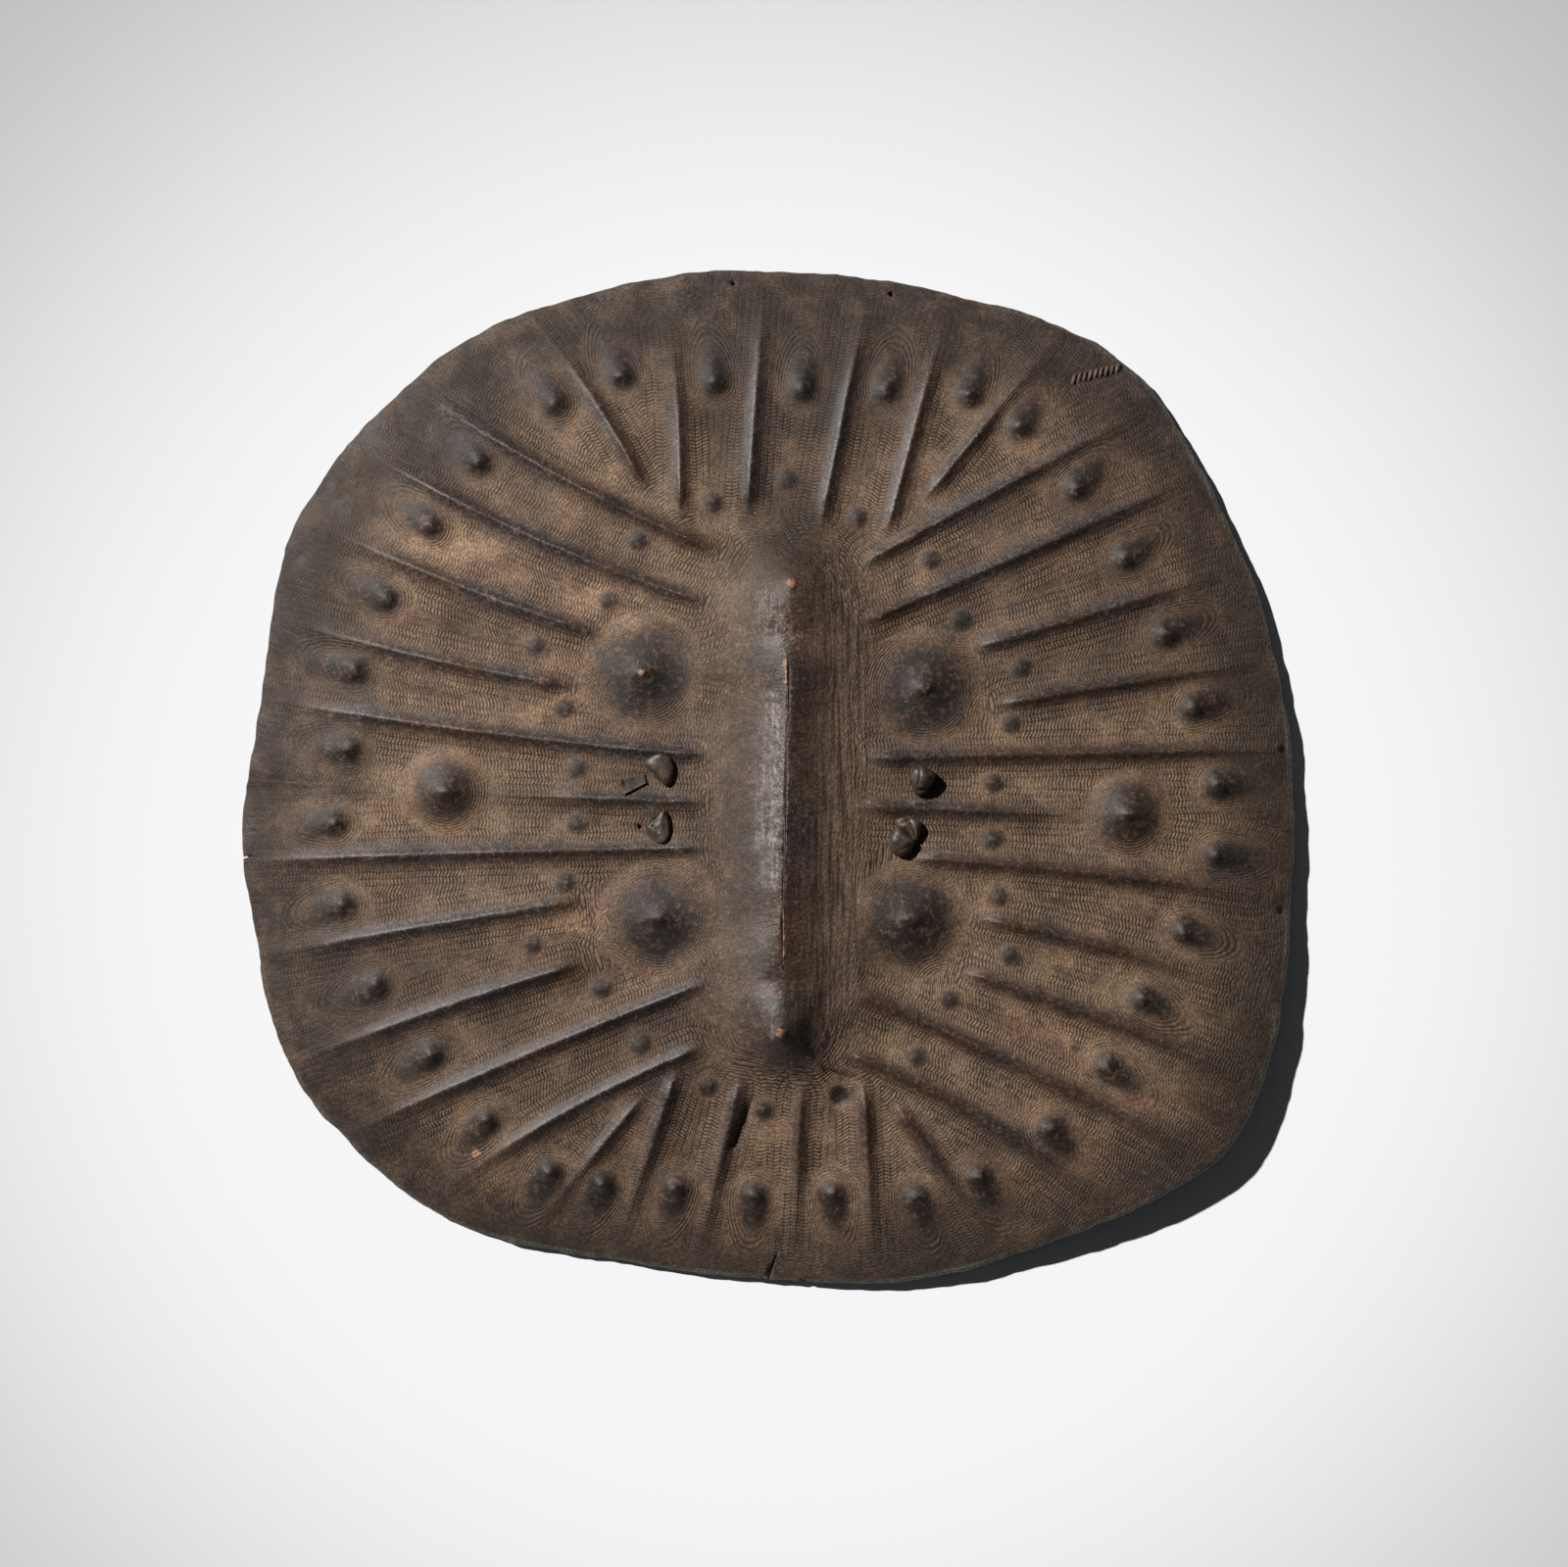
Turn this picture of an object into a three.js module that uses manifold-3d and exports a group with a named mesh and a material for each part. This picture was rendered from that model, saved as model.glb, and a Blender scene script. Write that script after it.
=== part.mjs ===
// Hide shield: a rounded-square, domed shield of thick hide, beaten up over a mould
// into a keeled central mound, large and small bosses and a fan of radiating ridges.
// Two rolled hide grips cross the hollow back and come through slits to ends folded over on
// the face.
// Millimetres. +Z is the outward face, +Y the top; the rim lies on Z = 0.
import * as THREE from "three";
import { ConvexHull } from "three/addons/math/ConvexHull.js";
import { mergeVertices } from "three/addons/utils/BufferGeometryUtils.js";
import Module from "manifold-3d";

const wasm = await Module();
wasm.setup();

// The hide and its dome
const hideThickness = 4.5;
const domeRise = 46;
const rimTurnShare = 0.36; // share of the rise that turns down close to the rim
const rimTurnPower = 8;
const cornerLift = 15; // the lower right corner has warped up off the ground
const cornerLiftAngle = -0.72; // radians from the +X axis
const cornerLiftWidth = 0.52;

// The outline as drawn, anticlockwise from the right, about the middle of the keel
const drawnRim = [
  [297, 52], [287, 102], [270, 150], [226, 233], [200, 260], [163, 283], [71, 308], [-12, 315],
  [-78, 311], [-165, 285], [-222, 248], [-280, 183], [-300, 128], [-309, 61], [-321, -10],
  [-315, -71], [-296, -147], [-256, -202], [-195, -248], [-113, -268], [-36, -279], [54, -284],
  [141, -265], [229, -228], [270, -193], [293, -125], [299, -60], [302, -12],
];

// All of the plan is spread out or drawn in from its drawn width to the shield's own
const shieldWidth = 623;
const drawnAcross = drawnRim.map(([x]) => x);
const spread = shieldWidth / (Math.max(...drawnAcross) - Math.min(...drawnAcross));
const spreadOut = (rows) => rows.map((row) => row.map((length) => length * spread));
const rimPoints = spreadOut(drawnRim);

// The ridges, one row each, anticlockwise from the right:
// outer end x, y, inner end x, y, sideways bow at mid length, and how far from
// the middle of the keel the rim boss lies that follows it
const ridgeRows = spreadOut([
  [181, -6, 50, -2, 0, 256], [291, 32, 55, 27, 0, 248], [280, 84, 130, 59, 0, 246],
  [257, 136, 117, 93, -1, 247], [238, 191, 50, 108, -1, 253], [209, 230, 50, 143, 0, 262],
  [161, 275, 87, 184, 0, 265], [95, 287, 61, 162, 0, 251], [49, 299, 23, 170, 0, 245],
  [-12, 304, -21, 176, 0, 252], [-67, 278, -61, 173, -2, 270], [-148, 287, -84, 190, -3, 272],
  [-220, 248, -43, 150, 6, 270], [-249, 209, -52, 120, 6, 265], [-273, 164, -114, 101, 3, 264],
  [-293, 108, -130, 70, 3, 265], [-302, 61, -52, 29, 3, 259], [-174, 6, -52, 1, 0, 265],
  [-318, -34, -52, -26, -1, 267], [-302, -89, -126, -58, -1, 263], [-288, -153, -124, -95, -2, 255],
  [-256, -195, -52, -107, -2, 256], [-199, -227, -52, -144, -5, 258], [-146, -248, -86, -176, 0, 249],
  [-96, -254, -64, -160, 0, 236], [-50, -261, -27, -167, 0, 232], [5, -266, 10, -172, 0, 232],
  [52, -268, 47, -167, 0, 245], [124, -261, 67, -179, 0, 248], [190, -237, 41, -148, 7, 247],
  [241, -206, 46, -113, 3, 245], [266, -158, 110, -100, 2, 240], [261, -105, 119, -68, 2, 247],
  [277, -53, 80, -32, 2, 257],
]);
const ridgeHeight = 2.8; // of the narrow crest, on top of the fold that carries it
const ridgeHalfWidth = 3.4;
const ridgeBlunt = 1.2;
const foldHeight = 3.2;
const foldHalfWidth = 8.5;
const foldSpread = 0.6; // how much wider a fold is at its outer end
const ridgeRunOut = 0.3; // share of its length over which it dies out past each end
const ridgeFadeIn = 24; // length over which a ridge rises at its inner end
const ridgeFadeOut = 75; // and sinks away again towards the rim

// The mound along the middle, its keel and the boss at each end of it
const moundTop = [4 * spread, 106 * spread];
const moundBottom = [-2 * spread, -111 * spread];
const moundHeight = 22;
const moundRadius = 75;
const moundPower = 1.64; // how much its flanks steepen towards the top
const moundBlunt = 2.5; // rounding of its top along the keel
const moundEndBlunt = 16; // rounding of its top past the keel's ends
const moundEndFade = 30;
const keelTop = 89 * spread;
const keelBottom = -96 * spread;
const keelHeight = 2;
const keelHalfWidth = 8;
const keelEndFade = 12;
const endBosses = spreadOut([[4, 129], [-2, -134]]);
const endBossHeight = 12;
const endBossRadius = 17;

// Bosses: large ones round the mound, a middle-sized one on each side, small ones at
// the rim, one between each two ridges, and low studs at the ridges' inner ends
const largeBosses = spreadOut([[82, 68], [-83, 77], [-73, -67], [74, -68]]);
const largeBossHeight = 9.5;
const largeBossRadius = 36;
const sideBosses = spreadOut([[203, -6], [-199, 7]]);
const sideBossHeight = 10;
const sideBossRadius = 29;
const bossPower = 1.5;
const bossBlunt = 3; // rounding of the tops
const rimBossHeight = 5.2;
const rimBossHalfWidth = 9;
const rimBossTail = 20;
const nippleHeight = 2.8;
const nippleRadius = 4.4;
const studHeight = 2.2;
const studRadius = 5;
// Distance of each stud from the keel, down one side of the shield and then the other
const [studReachRight, studReachLeft] = spreadOut([
  [86, 104, 139, 133, 123, 123, 126, 133, 97, 78],
  [86, 103, 146, 129, 121, 121, 128, 147, 107, 84],
]);
const studsAtEnds = spreadOut([
  [-42, 177], [2, 190], [43, 168], [-45, -166], [-12, -180], [32, -171],
]);
const firstRightPanel = 4; // the panel, counted from the first ridge, with the first right stud
const firstLeftPanel = 12;

// The slits the grips come through: left and right of the upper grip, then of the lower one
const slits = spreadOut([[-70.5, 20], [81, 14], [-72, -15], [73, -19]]);
// The ends folded over on the face: highest place x, y, height, and outline seen from above
const upperEnds = [
  [[-72, 20.5], 6.2, [
    [-82.1, 23.6], [-76.4, 17.4], [-69.2, 10.2], [-65.6, 12.7], [-64.1, 18.9],
    [-64.5, 23.9], [-67.4, 27.9], [-72.5, 29.6], [-77.6, 27.9],
  ]],
  [[80, 15.5], 11.5, [
    [79.9, 23], [85, 20.6], [89, 17], [87.5, 12.3], [82.8, 5.8],
    [77.7, 4.9], [75.2, 8.7], [73.6, 15.9], [74.8, 21],
  ]],
];
const lowerEnds = [
  [[-73, -13], 5.6, [
    [-70.7, -4], [-75.6, -9], [-81.2, -14.5], [-77.6, -20.7], [-71.8, -23.4],
    [-67.8, -21], [-66.5, -14.5], [-67.1, -8.7], [-68.9, -4.7],
  ]],
  [[68.5, -21.5], 9, [
    [61, -23.2], [62.5, -17.4], [65, -13.8], [69, -14.4], [77, -21.6],
    [74.8, -27.6], [69.8, -31], [63.6, -29],
  ]],
  [[74.5, -14], 7.5, [
    [66.5, -8.7], [73.4, -7.3], [79.9, -10.5], [80.6, -15.3], [77.7, -22.5],
    [73, -19], [68.5, -15.4], [65.8, -12.4],
  ]],
];
// Rings of an end from its edge to its top: share of the outline, share of the height
const endRings = [[0.7, 0], [1, 0.06], [0.86, 0.55], [0.5, 0.9]];
const strapWidth = 11;
const strapThickness = 4.5;
const gripRadius = 7.5; // where the strap is rolled up to fill the hand
const gripHalfThickness = 6.75; // there, a little flattened by use
const gripLength = 96;
const gripHeight = 27; // of the grips' middle line above the ground
const gripSag = 5;
const gripSides = 8;
const gripStations = 26;
// The turn between a slit and the hand: straight down, then inwards and down in all
const gripTurn = { straight: 5.25, inwards: 7.5, down: 14.25 };
const rollRun = 9; // length over which a strap rolls up
const strapSquareness = 0.45;
const slitClearance = 1;
const fitGap = 0.3;

// Small damage: two tears and two holes at the rim, and a sewn-up slit
// A tear: where it starts outside the rim, where it ends, and its width
const tears = [
  [...spreadOut([[-326, -33], [-314, -31]]), 2.4],
  [...spreadOut([[-12, -284], [-3, -263]]), 4.5],
];
const rimHoles = spreadOut([[294, 32], [293, -63]]);
const rimHoleRadius = 1.7;
const rimHoleSides = 7;
const [repairStart, repairEnd] = spreadOut([[169, 249], [198, 256]]);
const repairStitches = 8;
const stitchLength = 7;
const stitchThickness = 1.8;
const thongWidth = 2.2; // of the thong under the stitches
const thongThickness = 1.1;

const rimCurve = new THREE.CatmullRomCurve3(
  rimPoints.map(([x, y]) => new THREE.Vector3(x, y, 0)),
  true,
  "catmullrom",
  0.5,
);

// The rim's distance from the middle in a direction, from a fine table of the curve
const rimTable = rimCurve
  .getPoints(720)
  .map((p) => [Math.atan2(p.y, p.x), Math.hypot(p.x, p.y)])
  .sort((a, b) => a[0] - b[0]);

function rimRadius(angle) {
  let low = 0;
  let high = rimTable.length - 1;
  if (angle <= rimTable[0][0] || angle >= rimTable[high][0]) return rimTable[0][1];
  while (high - low > 1) {
    const middle = (low + high) >> 1;
    if (rimTable[middle][0] <= angle) low = middle;
    else high = middle;
  }
  const share = (angle - rimTable[low][0]) / (rimTable[high][0] - rimTable[low][0]);
  return rimTable[low][1] + share * (rimTable[high][1] - rimTable[low][1]);
}

const gauss = (d, radius) => Math.exp(-((d / radius) ** 2));
// A hill that falls from 1 at its middle to 0 at its radius, with a rounded top
const cone = (d, radius, power, blunt = bossBlunt) => {
  const run = Math.hypot(d, blunt) - blunt;
  const wholeRun = Math.hypot(radius, blunt) - blunt;
  return Math.max(0, 1 - run / wholeRun) ** power;
};
const ramp = (value) => {
  const t = Math.min(1, Math.max(0, value));
  return t * t * (3 - 2 * t);
};

function distanceToSegment(x, y, a, b) {
  const dx = b[0] - a[0];
  const dy = b[1] - a[1];
  const t = ((x - a[0]) * dx + (y - a[1]) * dy) / (dx * dx + dy * dy);
  const held = Math.min(1, Math.max(0, t));
  return Math.hypot(x - a[0] - held * dx, y - a[1] - held * dy);
}

// Each ridge with its length, its direction and the side its bow goes to
const ridges = ridgeRows.map(([outerX, outerY, innerX, innerY, bow]) => {
  const length = Math.hypot(outerX - innerX, outerY - innerY);
  const along = [(outerX - innerX) / length, (outerY - innerY) / length];
  return { innerX, innerY, length, along, side: [-along[1], along[0]], bow };
});

function ridgePoint(ridge, t, offset) {
  const sideways = offset + 4 * ridge.bow * t * (1 - t);
  return [
    ridge.innerX + ridge.along[0] * ridge.length * t + ridge.side[0] * sideways,
    ridge.innerY + ridge.along[1] * ridge.length * t + ridge.side[1] * sideways,
  ];
}

// The middle of the panel between a ridge and the next, at a distance from the middle
function panelPoint(index, distance, measure) {
  const a = ridges[index];
  const b = ridges[(index + 1) % ridges.length];
  const direction = [a.along[0] + b.along[0], a.along[1] + b.along[1]];
  const size = Math.hypot(...direction);
  const at = (t) => [
    (a.innerX + b.innerX) / 2 + (direction[0] / size) * t,
    (a.innerY + b.innerY) / 2 + (direction[1] / size) * t,
  ];
  let low = -shieldWidth / 5;
  let high = shieldWidth;
  while (high - low > 1e-6) {
    const middle = (low + high) / 2;
    if (measure(...at(middle)) < distance) low = middle;
    else high = middle;
  }
  return at(low);
}

const rimBosses = ridgeRows.map((row, index) => {
  const at = panelPoint(index, row[5], (x, y) => Math.hypot(x, y));
  const size = Math.hypot(...at);
  return { at, outward: [at[0] / size, at[1] / size] };
});

const panelCount = ridgeRows.length;
const studs = [
  ...studReachRight.map((reach, i) =>
    panelPoint((firstRightPanel - i + panelCount) % panelCount, reach, (x) => Math.abs(x))),
  ...studReachLeft.map((reach, i) => panelPoint(firstLeftPanel + i, reach, (x) => Math.abs(x))),
  ...studsAtEnds,
];

// The large forms: dome, mound, keel and bosses
function broadHeight(x, y) {
  const angle = Math.atan2(y, x);
  const share = Math.min(1, Math.hypot(x, y) / rimRadius(angle));
  const turn = rimTurnShare * (1 - share ** rimTurnPower);
  let z = domeRise * ((1 - rimTurnShare) * (1 - share * share) + turn);
  const off = angle - cornerLiftAngle;
  z += cornerLift * gauss(off, cornerLiftWidth) * share ** 4;
  const d = distanceToSegment(x, y, moundTop, moundBottom);
  const pastKeel = 1 - ramp((keelTop - y) / moundEndFade) * ramp((y - keelBottom) / moundEndFade);
  const blunt = moundBlunt + (moundEndBlunt - moundBlunt) * pastKeel;
  z += moundHeight * cone(d, moundRadius, moundPower, blunt);
  const inKeel = ramp((keelTop - y) / keelEndFade) * ramp((y - keelBottom) / keelEndFade);
  z += keelHeight * inKeel * Math.max(0, 1 - d / keelHalfWidth);
  for (const [bx, by] of endBosses) {
    z += endBossHeight * gauss(Math.hypot(x - bx, y - by), endBossRadius);
  }
  for (const [bx, by] of largeBosses) {
    z += largeBossHeight * cone(Math.hypot(x - bx, y - by), largeBossRadius, bossPower);
  }
  for (const [bx, by] of sideBosses) {
    z += sideBossHeight * cone(Math.hypot(x - bx, y - by), sideBossRadius, bossPower);
  }
  return z;
}

// The small forms: ridges, rim bosses, nipples and studs
function fineHeight(x, y) {
  let z = 0;
  for (const ridge of ridges) {
    const px = x - ridge.innerX;
    const py = y - ridge.innerY;
    const t = (px * ridge.along[0] + py * ridge.along[1]) / ridge.length;
    if (t < -ridgeRunOut || t > 1 + ridgeRunOut) continue;
    const middle = 4 * ridge.bow * t * (1 - t);
    const across = px * ridge.side[0] + py * ridge.side[1] - middle;
    const rise = ramp((t * ridge.length) / ridgeFadeIn + 0.5);
    const sink = ramp(((1 - t) * ridge.length) / ridgeFadeOut + 0.2);
    const off = Math.hypot(across, ridgeBlunt) - ridgeBlunt;
    const crest = ridgeHeight * Math.exp(-off / ridgeHalfWidth);
    const foldReach = foldHalfWidth * (1 + foldSpread * Math.min(1, Math.max(0, t)));
    z += rise * sink * (crest + foldHeight * Math.exp(-off / foldReach));
  }
  for (const { at, outward } of rimBosses) {
    const px = x - at[0];
    const py = y - at[1];
    const a = px * outward[0] + py * outward[1];
    const b = py * outward[0] - px * outward[1];
    const reach = a > 0 ? rimBossTail : rimBossHalfWidth;
    z += rimBossHeight * gauss(b, rimBossHalfWidth) * gauss(a, reach);
    z += nippleHeight * gauss(Math.hypot(px, py), nippleRadius);
  }
  for (const [bx, by] of [...endBosses, ...largeBosses, ...sideBosses]) {
    z += nippleHeight * gauss(Math.hypot(x - bx, y - by), nippleRadius);
  }
  for (const [bx, by] of studs) z += studHeight * gauss(Math.hypot(x - bx, y - by), studRadius);
  return z;
}

const rimFall = hideThickness * 1.35; // height of the cut edge, square to the turned-down hide
const faceHeight = (x, y) => rimFall + broadHeight(x, y) + fineHeight(x, y);

// The back follows the large forms at the hide's thickness and the small ones more softly
const backRelief = 0.6;
const slopeSpan = 8;

function backPoint(x, y) {
  const inwards = 1 - slopeSpan / Math.max(Math.hypot(x, y), slopeSpan);
  const cx = x * inwards;
  const cy = y * inwards;
  const slopeX = (broadHeight(cx + slopeSpan, cy) - broadHeight(cx - slopeSpan, cy)) / (2 * slopeSpan);
  const slopeY = (broadHeight(cx, cy + slopeSpan) - broadHeight(cx, cy - slopeSpan)) / (2 * slopeSpan);
  const size = Math.hypot(slopeX, slopeY, 1);
  const bx = x + (hideThickness * slopeX) / size;
  const by = y + (hideThickness * slopeY) / size;
  const z = rimFall + broadHeight(x, y) + backRelief * fineHeight(x, y);
  return [bx, by, Math.max(0, z - hideThickness / size)];
}

// Where the surface is measured: denser on the carving than on the plain panels
const rimCount = 120;
const rimRoom = 5; // nothing but the rim itself is measured closer to it
const rimSliver = 2; // a triangle this close to the rim's curve lies outside a hollow in it
const crestSpacing = 22;
const keelSpacing = 12;
const ridgeFoot = 7.5; // how far out the surface is measured on each side of a crest
// Least distance between two measured places, by what they lie on
const apart = { peak: 2, nipple: 2.4, keel: 3, crest: 4, flank: 4.5, boss: 5, mound: 6, plain: 8 };
const largeBossRings = [[12, 8], [23, 10], [largeBossRadius, 13]]; // radius, places round it
const sideBossRings = [[12, 8], [20, 8], [sideBossRadius, 10]];
const endBossRings = [[12, 8]];
const moundRings = [20, 36, 56];
const moundSpacing = 18;
const footShare = 1.4; // a small boss's foot is measured this far out, in its radius
const rimInsets = [[8.5, rimCount, 0.5], [24, rimCount / 2, 0]]; // distance in, places, shift
const rimRing = rimCurve.getSpacedPoints(rimCount).slice(0, rimCount);

function insetRing(inset, count, shift) {
  const ring = [];
  for (let i = 0; i < count; i += 1) {
    const p = rimCurve.getPointAt(((i + shift) / count) % 1);
    const size = Math.hypot(p.x, p.y);
    ring.push([p.x * (1 - inset / size), p.y * (1 - inset / size)]);
  }
  return ring;
}

function circle([x, y], radius, count) {
  const ring = [];
  for (let i = 0; i < count; i += 1) {
    const angle = (2 * Math.PI * (i + 0.5)) / count;
    ring.push([x + radius * Math.cos(angle), y + radius * Math.sin(angle)]);
  }
  return ring;
}

// An oval round the mound at a distance from its middle line
function moundOval(distance, spacing) {
  const [x0, y0] = moundBottom;
  const [x1, y1] = moundTop;
  const ring = [];
  const sideCount = Math.round(Math.hypot(x1 - x0, y1 - y0) / spacing);
  for (let i = 0; i <= sideCount; i += 1) {
    const t = i / sideCount;
    const x = x0 + (x1 - x0) * t;
    const y = y0 + (y1 - y0) * t;
    ring.push([x + distance, y], [x - distance, y]);
  }
  const endCount = Math.max(2, Math.round((Math.PI * distance) / spacing));
  for (let i = 1; i < endCount; i += 1) {
    const angle = (Math.PI * i) / endCount;
    ring.push([x1 + distance * Math.cos(angle), y1 + distance * Math.sin(angle)]);
    ring.push([x0 - distance * Math.cos(angle), y0 - distance * Math.sin(angle)]);
  }
  return ring;
}

// How far a point lies from the nearest ridge's crest
function distanceToCrest(x, y) {
  let nearest = Infinity;
  for (const ridge of ridges) {
    const px = x - ridge.innerX;
    const py = y - ridge.innerY;
    const t = (px * ridge.along[0] + py * ridge.along[1]) / ridge.length;
    const held = Math.min(1, Math.max(0, t));
    const [cx, cy] = ridgePoint(ridge, held, 0);
    nearest = Math.min(nearest, Math.hypot(x - cx, y - cy));
  }
  return nearest;
}

function gatherPoints() {
  const points = rimRing.map((p) => [p.x, p.y]);
  const add = (list, spacing, crestRoom = 0) => {
    for (const [x, y] of list) {
      const room = rimRadius(Math.atan2(y, x)) - Math.hypot(x, y);
      if (room < rimRoom || distanceToCrest(x, y) < crestRoom) continue;
      if (points.every(([px, py]) => Math.hypot(x - px, y - py) > spacing)) points.push([x, y]);
    }
  };
  add(insetRing(...rimInsets[0]), apart.boss);
  const peaks = [...largeBosses, ...sideBosses, ...endBosses, ...rimBosses.map((boss) => boss.at)];
  for (const at of peaks) {
    add([at], apart.peak);
    add(circle(at, nippleRadius, 5), apart.nipple);
  }
  for (const ridge of ridges) {
    const steps = Math.max(3, Math.round(ridge.length / crestSpacing));
    for (let i = 0; i <= steps; i += 1) add([ridgePoint(ridge, i / steps, 0)], apart.crest);
    for (let i = 0; i <= steps; i += 1) {
      const t = i / steps;
      const flanks = [ridgePoint(ridge, t, ridgeFoot), ridgePoint(ridge, t, -ridgeFoot)];
      add(flanks, apart.flank, ridgeFoot * 0.8);
    }
  }
  const keelLength = Math.hypot(moundTop[0] - moundBottom[0], moundTop[1] - moundBottom[1]);
  const keelSteps = Math.round(keelLength / keelSpacing);
  for (let i = 0; i <= keelSteps; i += 1) {
    const t = i / keelSteps;
    const x = moundBottom[0] + (moundTop[0] - moundBottom[0]) * t;
    add([[x, moundBottom[1] + (moundTop[1] - moundBottom[1]) * t]], apart.keel);
  }
  add(moundOval(keelHalfWidth, keelSpacing), apart.mound);
  for (const { at, outward } of rimBosses) {
    const foot = [];
    for (let i = 0; i < 6; i += 1) {
      const angle = (Math.PI * i) / 3;
      const a = Math.cos(angle);
      const reach = footShare * (a > 0 ? rimBossTail : rimBossHalfWidth);
      const b = footShare * rimBossHalfWidth * Math.sin(angle);
      foot.push([
        at[0] + outward[0] * a * reach - outward[1] * b,
        at[1] + outward[1] * a * reach + outward[0] * b,
      ]);
    }
    add(foot, apart.flank, ridgeFoot);
  }
  const ringRound = (places, rings) => {
    for (const at of places) {
      for (const [radius, count] of rings) add(circle(at, radius, count), apart.boss, ridgeFoot);
    }
  };
  ringRound(endBosses, endBossRings);
  ringRound(largeBosses, largeBossRings);
  ringRound(sideBosses, sideBossRings);
  for (const distance of moundRings) add(moundOval(distance, moundSpacing), apart.plain, ridgeFoot);
  for (const at of studs) {
    add([at], apart.crest);
    add(circle(at, studRadius * footShare, 5), apart.crest, ridgeFoot);
  }
  add(insetRing(...rimInsets[1]), apart.plain, ridgeFoot);
  return points;
}

// Triangles over scattered points: the lower hull of the points lifted onto a paraboloid
function triangulate(points) {
  const lifted = points.map(([x, y]) => new THREE.Vector3(x, y, (x * x + y * y) / 100));
  const indexOf = new Map(lifted.map((p, i) => [p, i]));
  const hull = new ConvexHull().setFromPoints(lifted);
  const triangles = [];
  for (const face of hull.faces) {
    if (face.normal.z >= 0) continue;
    const a = indexOf.get(face.edge.head().point);
    const b = indexOf.get(face.edge.next.head().point);
    const c = indexOf.get(face.edge.next.next.head().point);
    const x = (points[a][0] + points[b][0] + points[c][0]) / 3;
    const y = (points[a][1] + points[b][1] + points[c][1]) / 3;
    const allOnRim = a < rimCount && b < rimCount && c < rimCount;
    if (allOnRim && Math.hypot(x, y) > rimRadius(Math.atan2(y, x)) - rimSliver) continue;
    triangles.push([a, c, b]);
  }
  return triangles;
}

// A solid from a list of corners and triangles, or from a three.js geometry
function solidFrom(corners, triangles) {
  return new wasm.Manifold(
    new wasm.Mesh({
      numProp: 3,
      vertProperties: new Float32Array(corners.flat()),
      triVerts: new Uint32Array(triangles.flat()),
    }),
  );
}

function solidOf(geometry) {
  const bare = geometry.clone();
  bare.deleteAttribute("normal");
  bare.deleteAttribute("uv");
  const merged = mergeVertices(bare, 1e-3);
  return new wasm.Manifold(
    new wasm.Mesh({
      numProp: 3,
      vertProperties: merged.attributes.position.array,
      triVerts: new Uint32Array(merged.index.array),
    }),
  );
}

function geometryOf(solid) {
  const mesh = solid.getMesh();
  const positions = new Float32Array(mesh.numVert * 3);
  for (let i = 0; i < mesh.numVert; i += 1) {
    positions.set(mesh.vertProperties.subarray(i * mesh.numProp, i * mesh.numProp + 3), i * 3);
  }
  const geometry = new THREE.BufferGeometry();
  geometry.setAttribute("position", new THREE.BufferAttribute(positions, 3));
  geometry.setIndex(new THREE.BufferAttribute(mesh.triVerts, 1));
  geometry.computeVertexNormals();
  return geometry;
}

function unionOf(geometries) {
  return geometries.map(solidOf).reduce((whole, piece) => whole.add(piece));
}

const hidePoints = gatherPoints();
const hideFaces = triangulate(hidePoints);
const hideZ = hidePoints.map(([x, y]) => faceHeight(x, y));

// The height of the faceted face over a point, or the lowest ground outside the rim
function facetHeight(x, y) {
  for (const [a, b, c] of hideFaces) {
    const [ax, ay] = hidePoints[a];
    const [bx, by] = hidePoints[b];
    const [cx, cy] = hidePoints[c];
    const whole = (bx - ax) * (cy - ay) - (by - ay) * (cx - ax);
    const forB = ((x - ax) * (cy - ay) - (y - ay) * (cx - ax)) / whole;
    const forC = ((bx - ax) * (y - ay) - (by - ay) * (x - ax)) / whole;
    if (forB < 0 || forC < 0 || forB + forC > 1) continue;
    return hideZ[a] + forB * (hideZ[b] - hideZ[a]) + forC * (hideZ[c] - hideZ[a]);
  }
  return 0;
}

function hideBody() {
  const count = hidePoints.length;
  const corners = [
    ...hidePoints.map(([x, y], i) => [x, y, hideZ[i]]),
    ...hidePoints.map(([x, y]) => backPoint(x, y)),
  ];
  const turned = hideFaces.map(([a, b, c]) => [a + count, c + count, b + count]);
  const triangles = [...hideFaces, ...turned];
  const edges = new Map();
  for (const [a, b, c] of hideFaces) {
    for (const [from, to] of [[a, b], [b, c], [c, a]]) edges.set(`${from} ${to}`, [from, to]);
  }
  for (const [from, to] of edges.values()) {
    if (edges.has(`${to} ${from}`)) continue;
    triangles.push([to, from, from + count], [to, from + count, to + count]);
  }
  return solidFrom(corners, triangles);
}

// Cutters for the grips' slits, the holes and the tears, deep enough for the whole hide
const cutterDepth = domeRise + moundHeight + keelHeight;

function slitCutter([x, y]) {
  const cutter = new THREE.BoxGeometry(
    strapThickness + 2 * slitClearance,
    strapWidth + 2 * slitClearance,
    cutterDepth,
  );
  return cutter.translate(x, y, faceHeight(x, y));
}

function holeCutter([x, y]) {
  return new THREE.CylinderGeometry(rimHoleRadius, rimHoleRadius, cutterDepth, rimHoleSides)
    .rotateX(Math.PI / 2)
    .translate(x, y, faceHeight(x, y));
}

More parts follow.
